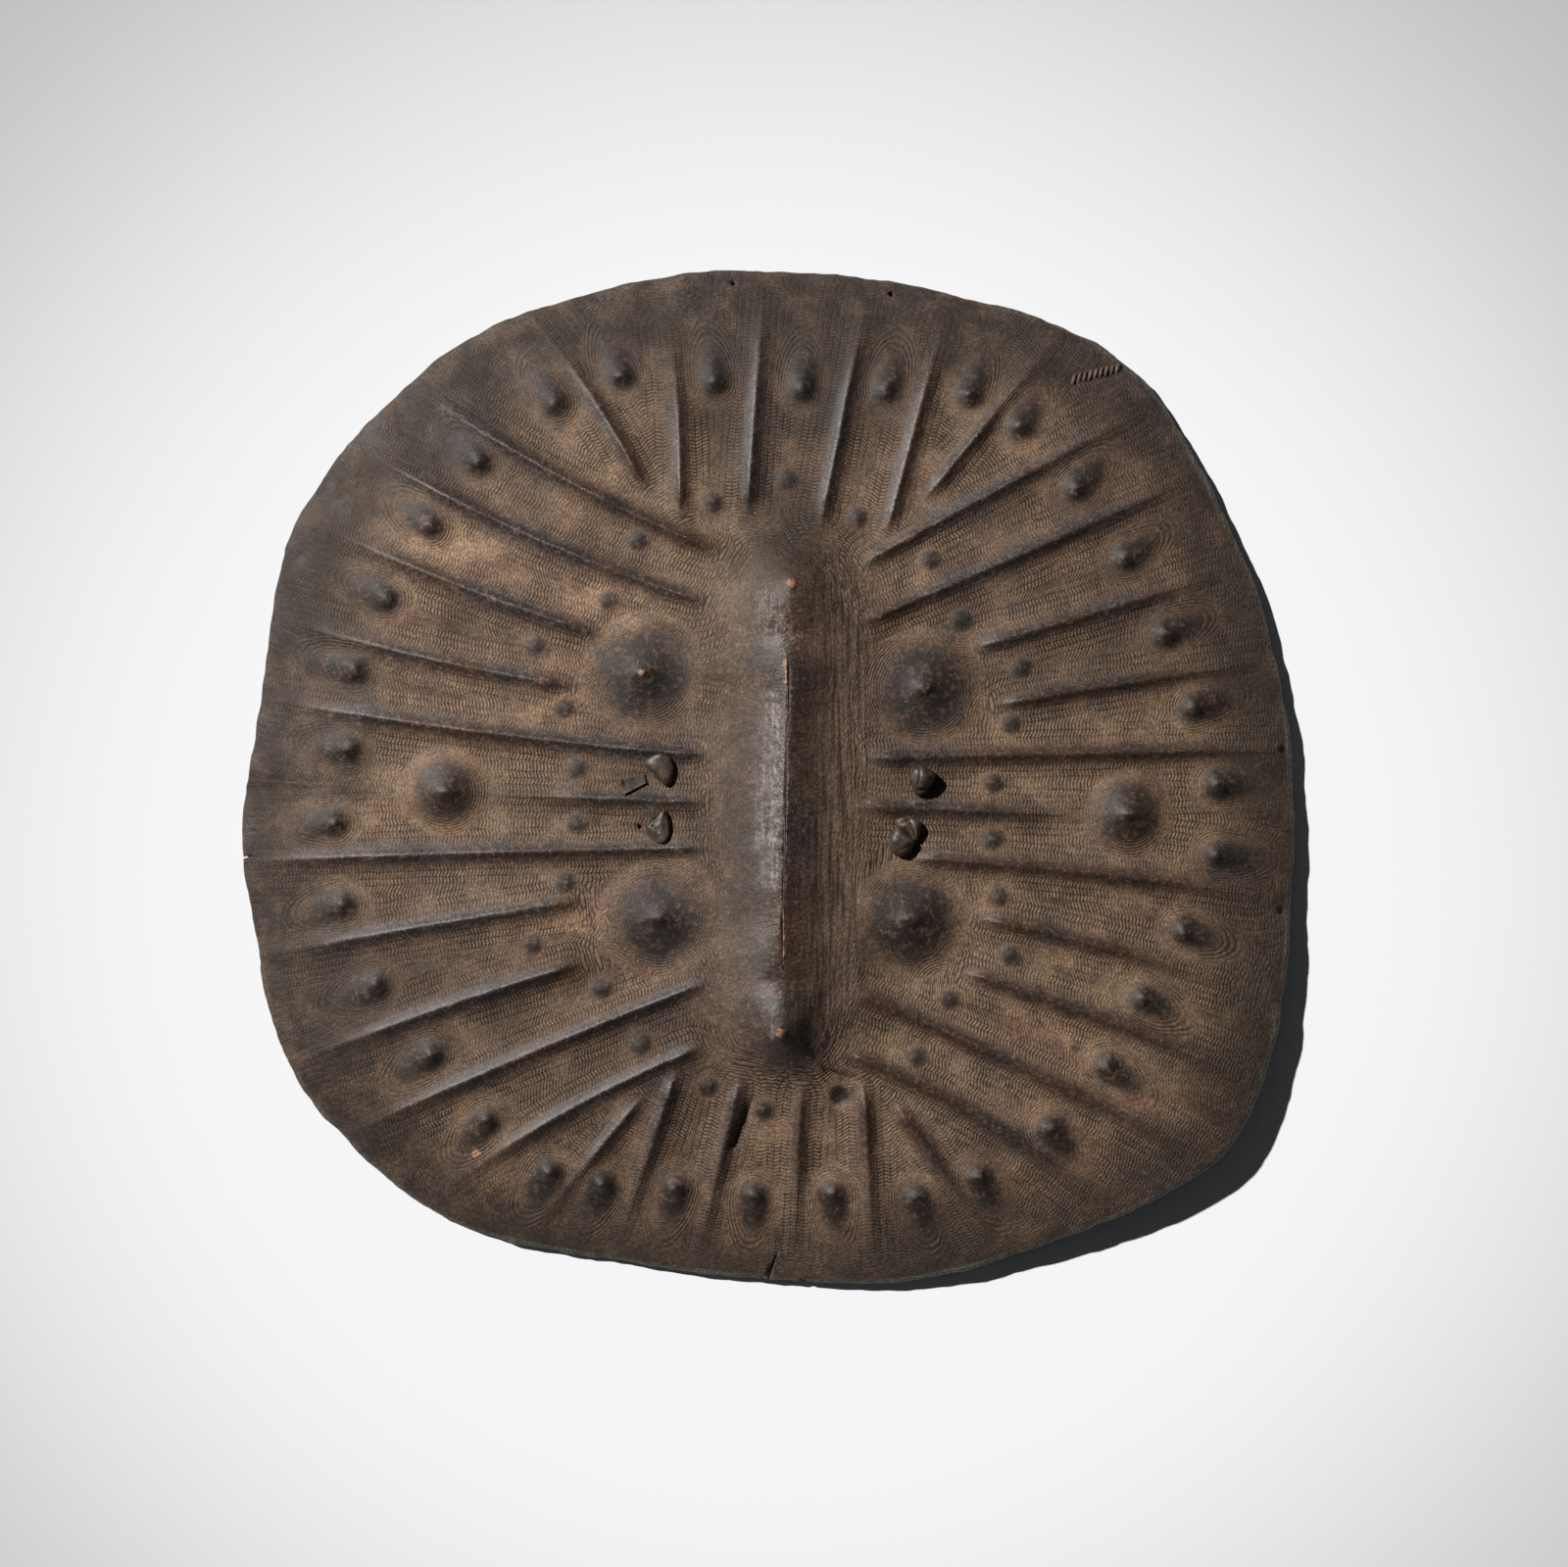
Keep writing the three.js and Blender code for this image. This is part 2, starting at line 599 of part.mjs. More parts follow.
// A tear is a wedge, wide at the rim and closing inwards
function tearCutter([outer, inner, width]) {
  const dx = inner[0] - outer[0];
  const dy = inner[1] - outer[1];
  const size = Math.hypot(dx, dy);
  const side = [(-dy / size) * width * 0.5, (dx / size) * width * 0.5];
  const shape = new THREE.Shape([
    new THREE.Vector2(outer[0] + side[0], outer[1] + side[1]),
    new THREE.Vector2(outer[0] - side[0], outer[1] - side[1]),
    new THREE.Vector2(inner[0], inner[1]),
  ]);
  return new THREE.ExtrudeGeometry(shape, { depth: cutterDepth, bevelEnabled: false })
    .translate(0, 0, faceHeight(...inner) - cutterDepth / 2);
}

const backHeight = (x, y) => faceHeight(x, y) - hideThickness;

// How far a geometry must rise so that it lies on the face with the gap between them
function riseOntoFace(geometry) {
  const at = geometry.attributes.position;
  let rise = -Infinity;
  for (let i = 0; i < at.count; i += 1) {
    rise = Math.max(rise, facetHeight(at.getX(i), at.getY(i)) - at.getZ(i));
  }
  return rise + 2 * fitGap;
}

// A grip's end folded over on the face: a low swelling on its outline, highest at its top
function foldedEnd([top, height, outline]) {
  const place = (x, y, share) => {
    const at = [(top[0] + (x - top[0]) * share) * spread, (top[1] + (y - top[1]) * share) * spread];
    return [...at, facetHeight(...at)];
  };
  const positions = [];
  for (const [share, rise] of endRings) {
    for (const [x, y] of outline) {
      const [px, py, pz] = place(x, y, share);
      positions.push(px, py, pz + height * rise);
    }
  }
  const [topX, topY, topZ] = place(...top, 0);
  const count = outline.length;
  const under = count * endRings.length;
  positions.push(topX, topY, topZ, topX, topY, topZ + height);
  const index = [];
  for (let i = 0; i < count; i += 1) {
    const next = (i + 1) % count;
    index.push(under, next, i, under + 1, under - count + i, under - count + next);
    for (let ring = 0; ring < under - count; ring += count) {
      index.push(ring + i, ring + next, ring + count + next);
      index.push(ring + i, ring + count + next, ring + count + i);
    }
  }
  const end = new THREE.BufferGeometry();
  end.setAttribute("position", new THREE.Float32BufferAttribute(positions, 3));
  end.setIndex(index);
  end.translate(0, 0, riseOntoFace(end));
  const solid = solidOf(end);
  if (solid.volume() > 0) return solid;
  return solidOf(end.setIndex(index.toReversed()));
}

// A strap lofted along a curve: flat where it passes the slits, rolled round in the hand
function strapLoft(path, stations, heading, middle) {
  const across = new THREE.Vector3(-Math.sin(heading), Math.cos(heading), 0);
  const corners = [];
  for (let i = 0; i <= stations; i += 1) {
    const at = path.getPointAt(i / stations);
    const tangent = path.getTangentAt(i / stations);
    const wide = across.clone().addScaledVector(tangent, -across.dot(tangent)).normalize();
    const thick = tangent.clone().cross(wide);
    const fromMiddle = Math.hypot(at.x - middle.x, at.y - middle.y);
    const rolled = ramp((gripLength / 2 - fromMiddle) / rollRun + 0.5);
    const halfWide = strapWidth / 2 + (gripRadius - strapWidth / 2) * rolled;
    const halfThick = strapThickness / 2 + (gripHalfThickness - strapThickness / 2) * rolled;
    for (let k = 0; k < gripSides; k += 1) {
      const angle = (2 * Math.PI * (k + 0.5)) / gripSides;
      const square = 1 - strapSquareness * (1 - rolled);
      const a = Math.sign(Math.cos(angle)) * Math.abs(Math.cos(angle)) ** square * halfWide;
      const b = Math.sign(Math.sin(angle)) * Math.abs(Math.sin(angle)) ** square * halfThick;
      const corner = at.clone().addScaledVector(wide, a).addScaledVector(thick, b);
      corners.push([corner.x, corner.y, corner.z]);
    }
  }
  const triangles = [];
  const last = stations * gripSides;
  for (let k = 0; k < gripSides; k += 1) {
    const next = (k + 1) % gripSides;
    for (let i = 0; i < last; i += gripSides) {
      triangles.push([i + k, i + next, i + gripSides + next]);
      triangles.push([i + k, i + gripSides + next, i + gripSides + k]);
    }
    if (k > 0 && next > 0) triangles.push([0, k + 1, k], [last, last + k, last + k + 1]);
  }
  const loft = solidFrom(corners, triangles);
  return loft.volume() > 0 ? loft : solidFrom(corners, triangles.map(([a, b, c]) => [a, c, b]));
}

function gripSolid(left, right, ends) {
  const turn = ([x, y], inward) => {
    const z = backHeight(x, y);
    return [
      new THREE.Vector3(x, y, facetHeight(x, y) + strapThickness / 2),
      new THREE.Vector3(x, y, z),
      new THREE.Vector3(x, y, z - gripTurn.straight),
      new THREE.Vector3(x + inward * gripTurn.inwards, y, z - gripTurn.down),
    ];
  };
  const middle = new THREE.Vector3(
    (left[0] + right[0]) / 2,
    (left[1] + right[1]) / 2,
    gripHeight,
  );
  const heading = Math.atan2(right[1] - left[1], right[0] - left[0]);
  const inHand = [-1, -0.5, 0, 0.5, 1].map((t) => new THREE.Vector3(
    middle.x + (t * gripLength * Math.cos(heading)) / 2,
    middle.y + (t * gripLength * Math.sin(heading)) / 2,
    gripHeight + gripSag * t * t,
  ));
  const route = [...turn(left, 1), ...inHand, ...turn(right, -1).reverse()];
  const path = new THREE.CatmullRomCurve3(route, false, "centripetal");
  const strap = strapLoft(path, gripStations, heading, middle);
  return ends.reduce((whole, end) => whole.add(foldedEnd(end)), strap);
}

// Thong stitches side by side over the sewn-up slit, joined by the thong along it
function stitching() {
  const [x0, y0] = repairStart;
  const [x1, y1] = repairEnd;
  const length = Math.hypot(x1 - x0, y1 - y0);
  const heading = Math.atan2(y1 - y0, x1 - x0);
  const middle = [(x0 + x1) / 2, (y0 + y1) / 2];
  const sideX = -Math.sin(heading) * stitchLength;
  const sideY = Math.cos(heading) * stitchLength;
  const pitch = -Math.atan2(facetHeight(x1, y1) - facetHeight(x0, y0), length);
  const above = facetHeight(middle[0] + sideX / 2, middle[1] + sideY / 2);
  const below = facetHeight(middle[0] - sideX / 2, middle[1] - sideY / 2);
  const roll = Math.atan2(above - below, stitchLength);
  const pieces = [new THREE.BoxGeometry(length, thongWidth, thongThickness)
    .translate(0, 0, thongThickness / 2)];
  for (let i = 0; i < repairStitches; i += 1) {
    const t = (i + 0.5) / repairStitches - 0.5;
    pieces.push(
      new THREE.CylinderGeometry(stitchThickness / 2, stitchThickness / 2, stitchLength, 4)
        .translate(length * t, 0, stitchThickness / 2),
    );
  }
  for (const piece of pieces) {
    piece.rotateX(roll).rotateY(pitch).rotateZ(heading).translate(middle[0], middle[1], 0);
  }
  const rise = Math.max(...pieces.map(riseOntoFace));
  return unionOf(pieces.map((piece) => piece.translate(0, 0, rise)));
}

const hideLook = new THREE.MeshStandardMaterial({ color: 0x4d3b2c, roughness: 0.62, metalness: 0 });
const gripLook = new THREE.MeshStandardMaterial({ color: 0x2e2826, roughness: 0.45, metalness: 0 });
const thongLook = new THREE.MeshStandardMaterial({ color: 0x5a432f, roughness: 0.7, metalness: 0 });

function named(name, geometry, material) {
  const mesh = new THREE.Mesh(geometry, material);
  mesh.name = name;
  return mesh;
}

const cutters = [
  ...slits.map(slitCutter),
  ...rimHoles.map(holeCutter),
  ...tears.map(tearCutter),
].map(solidOf);
const hide = cutters.reduce((whole, cutter) => whole.subtract(cutter), hideBody());
const hideGeometry = geometryOf(hide);

const shield = new THREE.Group();
shield.add(named("shield_hide", hideGeometry, hideLook));
const upperGrip = gripSolid(slits[0], slits[1], upperEnds);
const lowerGrip = gripSolid(slits[2], slits[3], lowerEnds);
shield.add(named("upper_grip", geometryOf(upperGrip), gripLook));
shield.add(named("lower_grip", geometryOf(lowerGrip), gripLook));
shield.add(named("repair_stitching", geometryOf(stitching()), thongLook));

// The origin goes under the middle of the outline, on the ground
const extent = new THREE.Box3().setFromObject(shield);
const centre = extent.getCenter(new THREE.Vector3());
shield.position.set(-centre.x, -centre.y, -extent.min.z);

export default shield;
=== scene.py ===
# Hide shield, seen from straight above as it lies face up on a pale studio floor.
import math

import bmesh
import bpy
import numpy as np
from mathutils import Matrix, Vector


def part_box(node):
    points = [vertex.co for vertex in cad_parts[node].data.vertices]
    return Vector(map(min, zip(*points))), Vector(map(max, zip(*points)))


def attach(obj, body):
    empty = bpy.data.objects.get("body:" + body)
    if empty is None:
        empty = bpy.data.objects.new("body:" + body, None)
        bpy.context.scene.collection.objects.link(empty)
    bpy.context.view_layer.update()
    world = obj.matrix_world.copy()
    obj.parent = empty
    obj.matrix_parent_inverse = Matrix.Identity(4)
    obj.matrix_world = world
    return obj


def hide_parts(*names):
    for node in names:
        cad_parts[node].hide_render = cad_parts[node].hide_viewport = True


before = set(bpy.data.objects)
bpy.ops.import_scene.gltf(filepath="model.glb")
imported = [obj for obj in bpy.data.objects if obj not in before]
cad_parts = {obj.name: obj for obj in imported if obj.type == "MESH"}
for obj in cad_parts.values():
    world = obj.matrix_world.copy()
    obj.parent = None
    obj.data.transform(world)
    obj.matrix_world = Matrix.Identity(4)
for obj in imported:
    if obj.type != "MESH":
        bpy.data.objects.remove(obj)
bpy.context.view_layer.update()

mm = 0.001  # the plan and heights below are in millimetres, the scene in metres

# The hide's plan, in millimetres from the middle of the keel, x right and y up
plan = {
    "rim": [
        (297, 52), (287, 102), (270, 150), (226, 233), (200, 260), (163, 283), (71, 308), (-12, 315),
        (-78, 311), (-165, 285), (-222, 248), (-280, 183), (-300, 128), (-309, 61), (-321, -10),
        (-315, -71), (-296, -147), (-256, -202), (-195, -248), (-113, -268), (-36, -279), (54, -284),
        (141, -265), (229, -228), (270, -193), (293, -125), (299, -60), (302, -12),
    ],
    # outer end x, y, inner end x, y, sideways bow, reach of the rim boss that follows
    "ridges": [
        (181, -6, 50, -2, 0, 256), (291, 32, 55, 27, 0, 248), (280, 84, 130, 59, 0, 246),
        (257, 136, 117, 93, -1, 247), (238, 191, 50, 108, -1, 253), (209, 230, 50, 143, 0, 262),
        (161, 275, 87, 184, 0, 265), (95, 287, 61, 162, 0, 251), (49, 299, 23, 170, 0, 245),
        (-12, 304, -21, 176, 0, 252), (-67, 278, -61, 173, -2, 270), (-148, 287, -84, 190, -3, 272),
        (-220, 248, -43, 150, 6, 270), (-249, 209, -52, 120, 6, 265), (-273, 164, -114, 101, 3, 264),
        (-293, 108, -130, 70, 3, 265), (-302, 61, -52, 29, 3, 259), (-174, 6, -52, 1, 0, 265),
        (-318, -34, -52, -26, -1, 267), (-302, -89, -126, -58, -1, 263),
        (-288, -153, -124, -95, -2, 255), (-256, -195, -52, -107, -2, 256),
        (-199, -227, -52, -144, -5, 258), (-146, -248, -86, -176, 0, 249),
        (-96, -254, -64, -160, 0, 236), (-50, -261, -27, -167, 0, 232), (5, -266, 10, -172, 0, 232),
        (52, -268, 47, -167, 0, 245), (124, -261, 67, -179, 0, 248), (190, -237, 41, -148, 7, 247),
        (241, -206, 46, -113, 3, 245), (266, -158, 110, -100, 2, 240), (261, -105, 119, -68, 2, 247),
        (277, -53, 80, -32, 2, 257),
    ],
    "moundTop": (4, 106),
    "moundBottom": (-2, -111),
    "keelTop": 89,
    "keelBottom": -96,
    "endBosses": [(4, 129), (-2, -134)],
    "largeBosses": [(82, 68), (-83, 77), (-73, -67), (74, -68)],
    "sideBosses": [(203, -6), (-199, 7)],
    # reach of each low stud from the keel, down the right side and then the left; more at the ends
    "studReachRight": [86, 104, 139, 133, 123, 123, 126, 133, 97, 78],
    "studReachLeft": [86, 103, 146, 129, 121, 121, 128, 147, 107, 84],
    "firstRightPanel": 4,
    "firstLeftPanel": 12,
    "studsAtEnds": [(-42, 177), (2, 190), (43, 168), (-45, -166), (-12, -180), (32, -171)],
    "slits": [(-70.5, 20), (81, 14), (-72, -15), (73, -19)],
}

# Heights and widths of the relief, in millimetres
hide = {
    "thickness": 4.5,
    "domeRise": 46,
    "rimTurnShare": 0.36,
    "rimTurnPower": 8,
    # where the rim stands off the ground, at the lower right and the right: rise, angle, angular width
    "lifts": [(15, -0.72, 0.52), (3.5, 0.28, 0.55)],
    "ridgeHeight": 2.4,
    "ridgeHalfWidth": 3.8,
    "ridgeBlunt": 1.3,
    "foldHeight": 3.2,  # of the wide fold that carries each ridge
    "foldHalfWidth": 8.5,
    "ridgeFadeIn": 24,
    "ridgeFadeOut": 75,
    "foldSpread": 0.6,  # how much wider a fold is at its outer end
    "moundHeight": 22,
    "moundRadius": 75,
    "moundPower": 1.64,
    "moundBlunt": (2.5, 16),  # rounding of its top along the keel, and past the keel's ends
    "moundEndFade": 30,
    "keelHeight": 1.0,
    "keelHalfWidth": 8,
    "keelEndFade": 12,
    "endBoss": (10.4, 18.5),
    "largeBoss": (9.5, 36),
    "largeBossShares": (0.95, 0.82, 0.92, 1.0),  # these are dented to unequal heights
    "sideBoss": (10, 29),
    "rimBoss": (4.6, 8.4, 18),  # height, half width, length of the tail towards the rim
    "nipple": (2.6, 3.5),
    "stud": (2.2, 5),
    "backRelief": 0.6,
    "slopeSpan": 8,
    "bossPower": 1.5,
    "dents": [(34, 0.55, 3), (13, 0.275, 5), (5, 0.16, 8)],  # size, height and seed of each kind
    "crestDents": (26, 0.8, 4.5, 20),  # size, height, half width, first seed
    "backDents": [(22, 0.4, 12)],
}

# The hide's mesh: its rows run round it, its columns from the keel to the rim
grid = {
    "columnsInPanel": 21,
    "columnCrowding": 0.07,  # columns lie closer together along the ridges
    "frontRows": (96, 20),  # in all, and those within the mound
    "backRows": (34, 9),
    # rows lie closer together where the rim bosses are (how much, start, its run, end, its run) and
    # at the rim (how much, start, its run)
    "bossCrowd": (0.9, 0.6, 0.08, 0.95, 0.06),
    "rimCrowd": (1.6, 0.97, 0.02),
    "crestPower": 1.35,  # rows lie closer together at the keel's crest
    "ovalRadius": 52.0,
    "leastGap": 12,  # between two ridges' columns where they cross the oval
    "edgeInset": 2.3,  # of the face's last row from the outline, so the cut edge shows from above
    "insetReach": 14.0,  # the rows further in give way by less and less, over this distance
    "edgeRows": ((0.13, 0.72), (0.5, 0.98)),  # down the cut edge: share of its depth, bulge
}


def ramp(value):
    t = np.clip(value, 0, 1)
    return t * t * (3 - 2 * t)


def gauss(distance, radius):
    return np.exp(-((distance / radius) ** 2))


def away(x, y, at):
    return np.hypot(x - at[0], y - at[1])


def cone(distance, radius, power, blunt=3):
    run = np.hypot(distance, blunt) - blunt
    return np.maximum(0, 1 - run / (np.hypot(radius, blunt) - blunt)) ** power


def closedCurve(points, stepsBetween):
    p = np.array(points, float)
    before, after, beyond = np.roll(p, 1, 0), np.roll(p, -1, 0), np.roll(p, -2, 0)
    t = (np.arange(stepsBetween) / stepsBetween)[None, :, None]
    t0, t1 = 0.5 * (after - before)[:, None], 0.5 * (beyond - p)[:, None]
    a, b = p[:, None], after[:, None]
    curve = a + t0 * t + (3 * (b - a) - 2 * t0 - t1) * t**2 + (2 * (a - b) + t0 + t1) * t**3
    return curve.reshape(-1, 2)


rimCurve = closedCurve(plan["rim"], 26)
rimAngle = np.arctan2(rimCurve[:, 1], rimCurve[:, 0])
rimOrder = np.argsort(rimAngle)
rimAngle = rimAngle[rimOrder]
rimLength = np.hypot(rimCurve[rimOrder, 0], rimCurve[rimOrder, 1])


def rimReach(angle):
    return np.interp(angle, rimAngle, rimLength, period=2 * math.pi)


# The outline's fraying: how far in it starts, its run, and its waves: size, share of the reach, seed
fraying = {"from": 26, "run": 24, "waves": [(30, 0.0034, 31), (11, 0.0022, 33), (4.5, 0.0012, 35)],
           "inwards": 0.0008}


def frayed(x, y):  # the outline in and out a little, fading away inwards
    reach = rimReach(np.arctan2(y, x))
    nearRim = ramp((np.hypot(x, y) - reach + fraying["from"]) / fraying["run"])
    sway = hills(x, y, fraying["waves"]) - fraying["inwards"]
    return x * (1 + nearRim * sway), y * (1 + nearRim * sway)


class Ridge:
    def __init__(self, row):
        outerX, outerY, innerX, innerY, self.bow, self.bossReach = row
        self.inner = np.array((innerX, innerY), float)
        self.length = math.hypot(outerX - innerX, outerY - innerY)
        self.along = np.array((outerX - innerX, outerY - innerY)) / self.length
        self.side = np.array((-self.along[1], self.along[0]))

    def point(self, t):
        return self.inner + self.along * self.length * t + self.side * 4 * self.bow * t * (1 - t)

    def place(self, x, y):  # share of the length, and distance across from the crest
        px, py = x - self.inner[0], y - self.inner[1]
        t = (px * self.along[0] + py * self.along[1]) / self.length
        across = px * self.side[0] + py * self.side[1] - 4 * self.bow * t * (1 - t)
        return t, across


ridges = [Ridge(row) for row in plan["ridges"]]
spineTop, spineBottom = np.array(plan["moundTop"], float), np.array(plan["moundBottom"], float)


def segmentDistance(x, y, a, b):
    dx, dy = b[0] - a[0], b[1] - a[1]
    t = np.clip(((x - a[0]) * dx + (y - a[1]) * dy) / (dx * dx + dy * dy), 0, 1)
    return np.hypot(x - a[0] - t * dx, y - a[1] - t * dy)


def spineDistance(x, y):
    return segmentDistance(x, y, spineBottom, spineTop)


def lastInside(low, high, closeness, inside):  # the greatest value that is still inside
    while high - low > closeness:
        middle = (low + high) / 2
        if inside(middle):
            low = middle
        else:
            high = middle
    return low


def panelPoint(index, distance, measure):  # on the middle line of the panel after that ridge
    ridge, other = ridges[index], ridges[(index + 1) % len(ridges)]
    start = (ridge.inner + other.inner) / 2
    way = ridge.along + other.along
    way = way / np.hypot(*way)
    run = lastInside(-120.0, 620.0, 1e-5, lambda run: measure(start + way * run) < distance)
    return start + way * run


rimBosses = []  # place, and the way outwards
for index, ridge in enumerate(ridges):
    at = panelPoint(index, ridge.bossReach, lambda p: np.hypot(*p))
    rimBosses.append((at, at / np.hypot(*at)))
studs = [panelPoint((plan["firstRightPanel"] - i) % len(ridges), reach, lambda p: abs(p[0]))
         for i, reach in enumerate(plan["studReachRight"])]
studs += [panelPoint(plan["firstLeftPanel"] + i, reach, lambda p: abs(p[0]))
          for i, reach in enumerate(plan["studReachLeft"])]
studs += [np.array(at, float) for at in plan["studsAtEnds"]]


def alongAndAcross(x, y, at, outward):  # distances from a rim boss, outwards and sideways
    px, py = x - at[0], y - at[1]
    return px * outward[0] + py * outward[1], py * outward[0] - px * outward[1]


def softNoise(x, y, size, seed):  # smooth hills about `size` mm across, from -1 to 1
    lattice = np.random.RandomState(seed).uniform(-1, 1, (64, 64))
    gx, gy = x / size + 100.37, y / size + 100.71
    ix, iy = np.floor(gx).astype(int), np.floor(gy).astype(int)
    fx, fy = ramp(gx - ix), ramp(gy - iy)
    corner = lambda i, j: lattice[(ix + i) % 64, (iy + j) % 64]
    low = corner(0, 0) * (1 - fx) + corner(1, 0) * fx
    high = corner(0, 1) * (1 - fx) + corner(1, 1) * fx
    return low * (1 - fy) + high * fy


def hills(x, y, rows):  # several soft noises together: size, height and seed of each
    return sum(height * softNoise(x, y, size, seed) for size, height, seed in rows)


def broadHeight(x, y):
    angle = np.arctan2(y, x)
    share = np.minimum(1, np.hypot(x, y) / rimReach(angle))
    turn = hide["rimTurnShare"] * (1 - share ** hide["rimTurnPower"])
    z = hide["domeRise"] * ((1 - hide["rimTurnShare"]) * (1 - share**2) + turn)
    for lift, liftAngle, liftWidth in hide["lifts"]:
        z = z + lift * gauss(angle - liftAngle, liftWidth) * share**4
    d = spineDistance(x, y)
    onKeel = lambda fade: ramp((plan["keelTop"] - y) / fade) * ramp((y - plan["keelBottom"]) / fade)
    sharp, rounded = hide["moundBlunt"]
    blunt = sharp + (rounded - sharp) * (1 - onKeel(hide["moundEndFade"]))
    z = z + hide["moundHeight"] * cone(d, hide["moundRadius"], hide["moundPower"], blunt)
    keel = np.maximum(0, 1 - d / hide["keelHalfWidth"])
    z = z + hide["keelHeight"] * onKeel(hide["keelEndFade"]) * keel
    for at in plan["endBosses"]:
        z = z + hide["endBoss"][0] * gauss(away(x, y, at), hide["endBoss"][1])
    height, radius = hide["largeBoss"]
    for at, share in zip(plan["largeBosses"], hide["largeBossShares"]):
        z = z + height * share * cone(away(x, y, at), radius, hide["bossPower"])
    height, radius = hide["sideBoss"]
    for at in plan["sideBosses"]:
        z = z + height * cone(away(x, y, at), radius, hide["bossPower"])
    return z


def ridgePresence(ridge, t):
    rise = ramp(t * ridge.length / hide["ridgeFadeIn"] + 0.5)
    return rise * ramp((1 - t) * ridge.length / hide["ridgeFadeOut"] + 0.2)


def fineHeight(x, y):
    z = np.zeros_like(x)
    for ridge in ridges:
        t, across = ridge.place(x, y)
        near = (t > -0.3) & (t < 1.3)
        off = np.hypot(across, hide["ridgeBlunt"]) - hide["ridgeBlunt"]
        crest = hide["ridgeHeight"] * np.exp(-off / hide["ridgeHalfWidth"])
        halfWidth = hide["foldHalfWidth"] * (1 + hide["foldSpread"] * np.clip(t, 0, 1))
        crest = crest + hide["foldHeight"] * np.exp(-off / halfWidth)
        crest = crest * ridgePresence(ridge, t)
        z = z + np.where(near, crest, 0)
    height, halfWidth, tail = hide["rimBoss"]
    for at, outward in rimBosses:
        a, b = alongAndAcross(x, y, at, outward)
        z = z + height * gauss(b, halfWidth) * gauss(a, np.where(a > 0, tail, halfWidth))
    tips = [at for at, outward in rimBosses]
    tips += plan["endBosses"] + plan["largeBosses"] + plan["sideBosses"]
    for kind, places in (("nipple", tips), ("stud", studs)):
        height, radius = hide[kind]
        for at in places:
            z = z + height * gauss(away(x, y, at), radius)
    return z


# Dents, creases and the sewn-up slit: start, end, depth, half width
creases = {
    "pit": ((32, -171), (33, -173), 5.0, 4.2),
    "besidePit": ((25, -157), (41, -162), 2.2, 2.0),
    "besideRidge": ((-19, -176), (-29, -201), 2.6, 2.6),
    "aboveKeel": ((-8, 99), (14, 98), 0.8, 6.0),
    "belowKeel": ((-8, -103), (9, -105), 0.8, 5.0),
    "keelScratch": ((-14.5, -15), (1.5, -23), 0.7, 0.8),
    "sewnSlit": ((166, 248), (201, 257), 1.6, 1.0),
    "footWall": ((30, -90), (25, -114), 0.9, 6.0),
    "footFold": ((25, -114), (14, -132), 0.9, 6.0),
    "slitLipA": ((-83.5, 22.5), (-70.5, 8.8), -0.9, 1.3),
    "slitLipB": ((-71.6, -3.6), (-82.0, -14.0), -0.9, 1.3),
    "flapB": ((-81, -6), (-75, -3.4), -2.4, 4.6),
    "slitLipC": ((75.4, 3.6), (79.0, 1.0), -1.6, 1.5),
    "slitLipD": ((79.0, 1.0), (86.0, 1.8), -1.6, 1.5),
    "leftCrack": ((-313, -32), (-305, -15), 0.9, 0.9),
    "bottomCrack": ((-3, -264), (-1, -256), 1.0, 1.0),
}


def crumple(x, y):
    z = hills(x, y, hide["dents"])
    size, height, halfWidth, seed = hide["crestDents"]
    for index, ridge in enumerate(ridges):  # the ridges' crests rise and sink a little
        t, across = ridge.place(x, y)
        uneven = softNoise(t * ridge.length, 0 * t, size, seed + index) * gauss(across, halfWidth)
        z = z + np.where((t > -0.1) & (t < 1.1), height * uneven, 0) * ridgePresence(ridge, t)
    for start, end, depth, halfWidth in creases.values():
        z = z - depth * gauss(segmentDistance(x, y, start, end), halfWidth)
    return z


rimFall = hide["thickness"] * 1.35


def faceHeight(x, y):
    return rimFall + broadHeight(x, y) + fineHeight(x, y) + crumple(x, y)


def slopes(x, y):
    span = hide["slopeSpan"]
    size = np.maximum(np.hypot(x, y), span)
    cx, cy = x * (1 - span / size), y * (1 - span / size)
    slopeX = (broadHeight(cx + span, cy) - broadHeight(cx - span, cy)) / (2 * span)
    slopeY = (broadHeight(cx, cy + span) - broadHeight(cx, cy - span)) / (2 * span)
    return slopeX, slopeY, np.sqrt(slopeX**2 + slopeY**2 + 1)


def backPoint(x, y):
    slopeX, slopeY, size = slopes(x, y)
    t = hide["thickness"]
    z = rimFall + broadHeight(x, y) + hide["backRelief"] * fineHeight(x, y)
    z = z + hills(x, y, hide["backDents"])
    return x + t * slopeX / size, y + t * slopeY / size, z - t / size


# Rays from the mound to the rim, bent so that one of them runs along each ridge's crest
ovalRadius = grid["ovalRadius"]
sideRun = float(np.hypot(*(spineTop - spineBottom)))
spineUp = (spineTop - spineBottom) / sideRun
spineRight = np.array((spineUp[1], -spineUp[0]))
capRun = math.pi * ovalRadius
ovalRun = 2 * (sideRun + capRun)


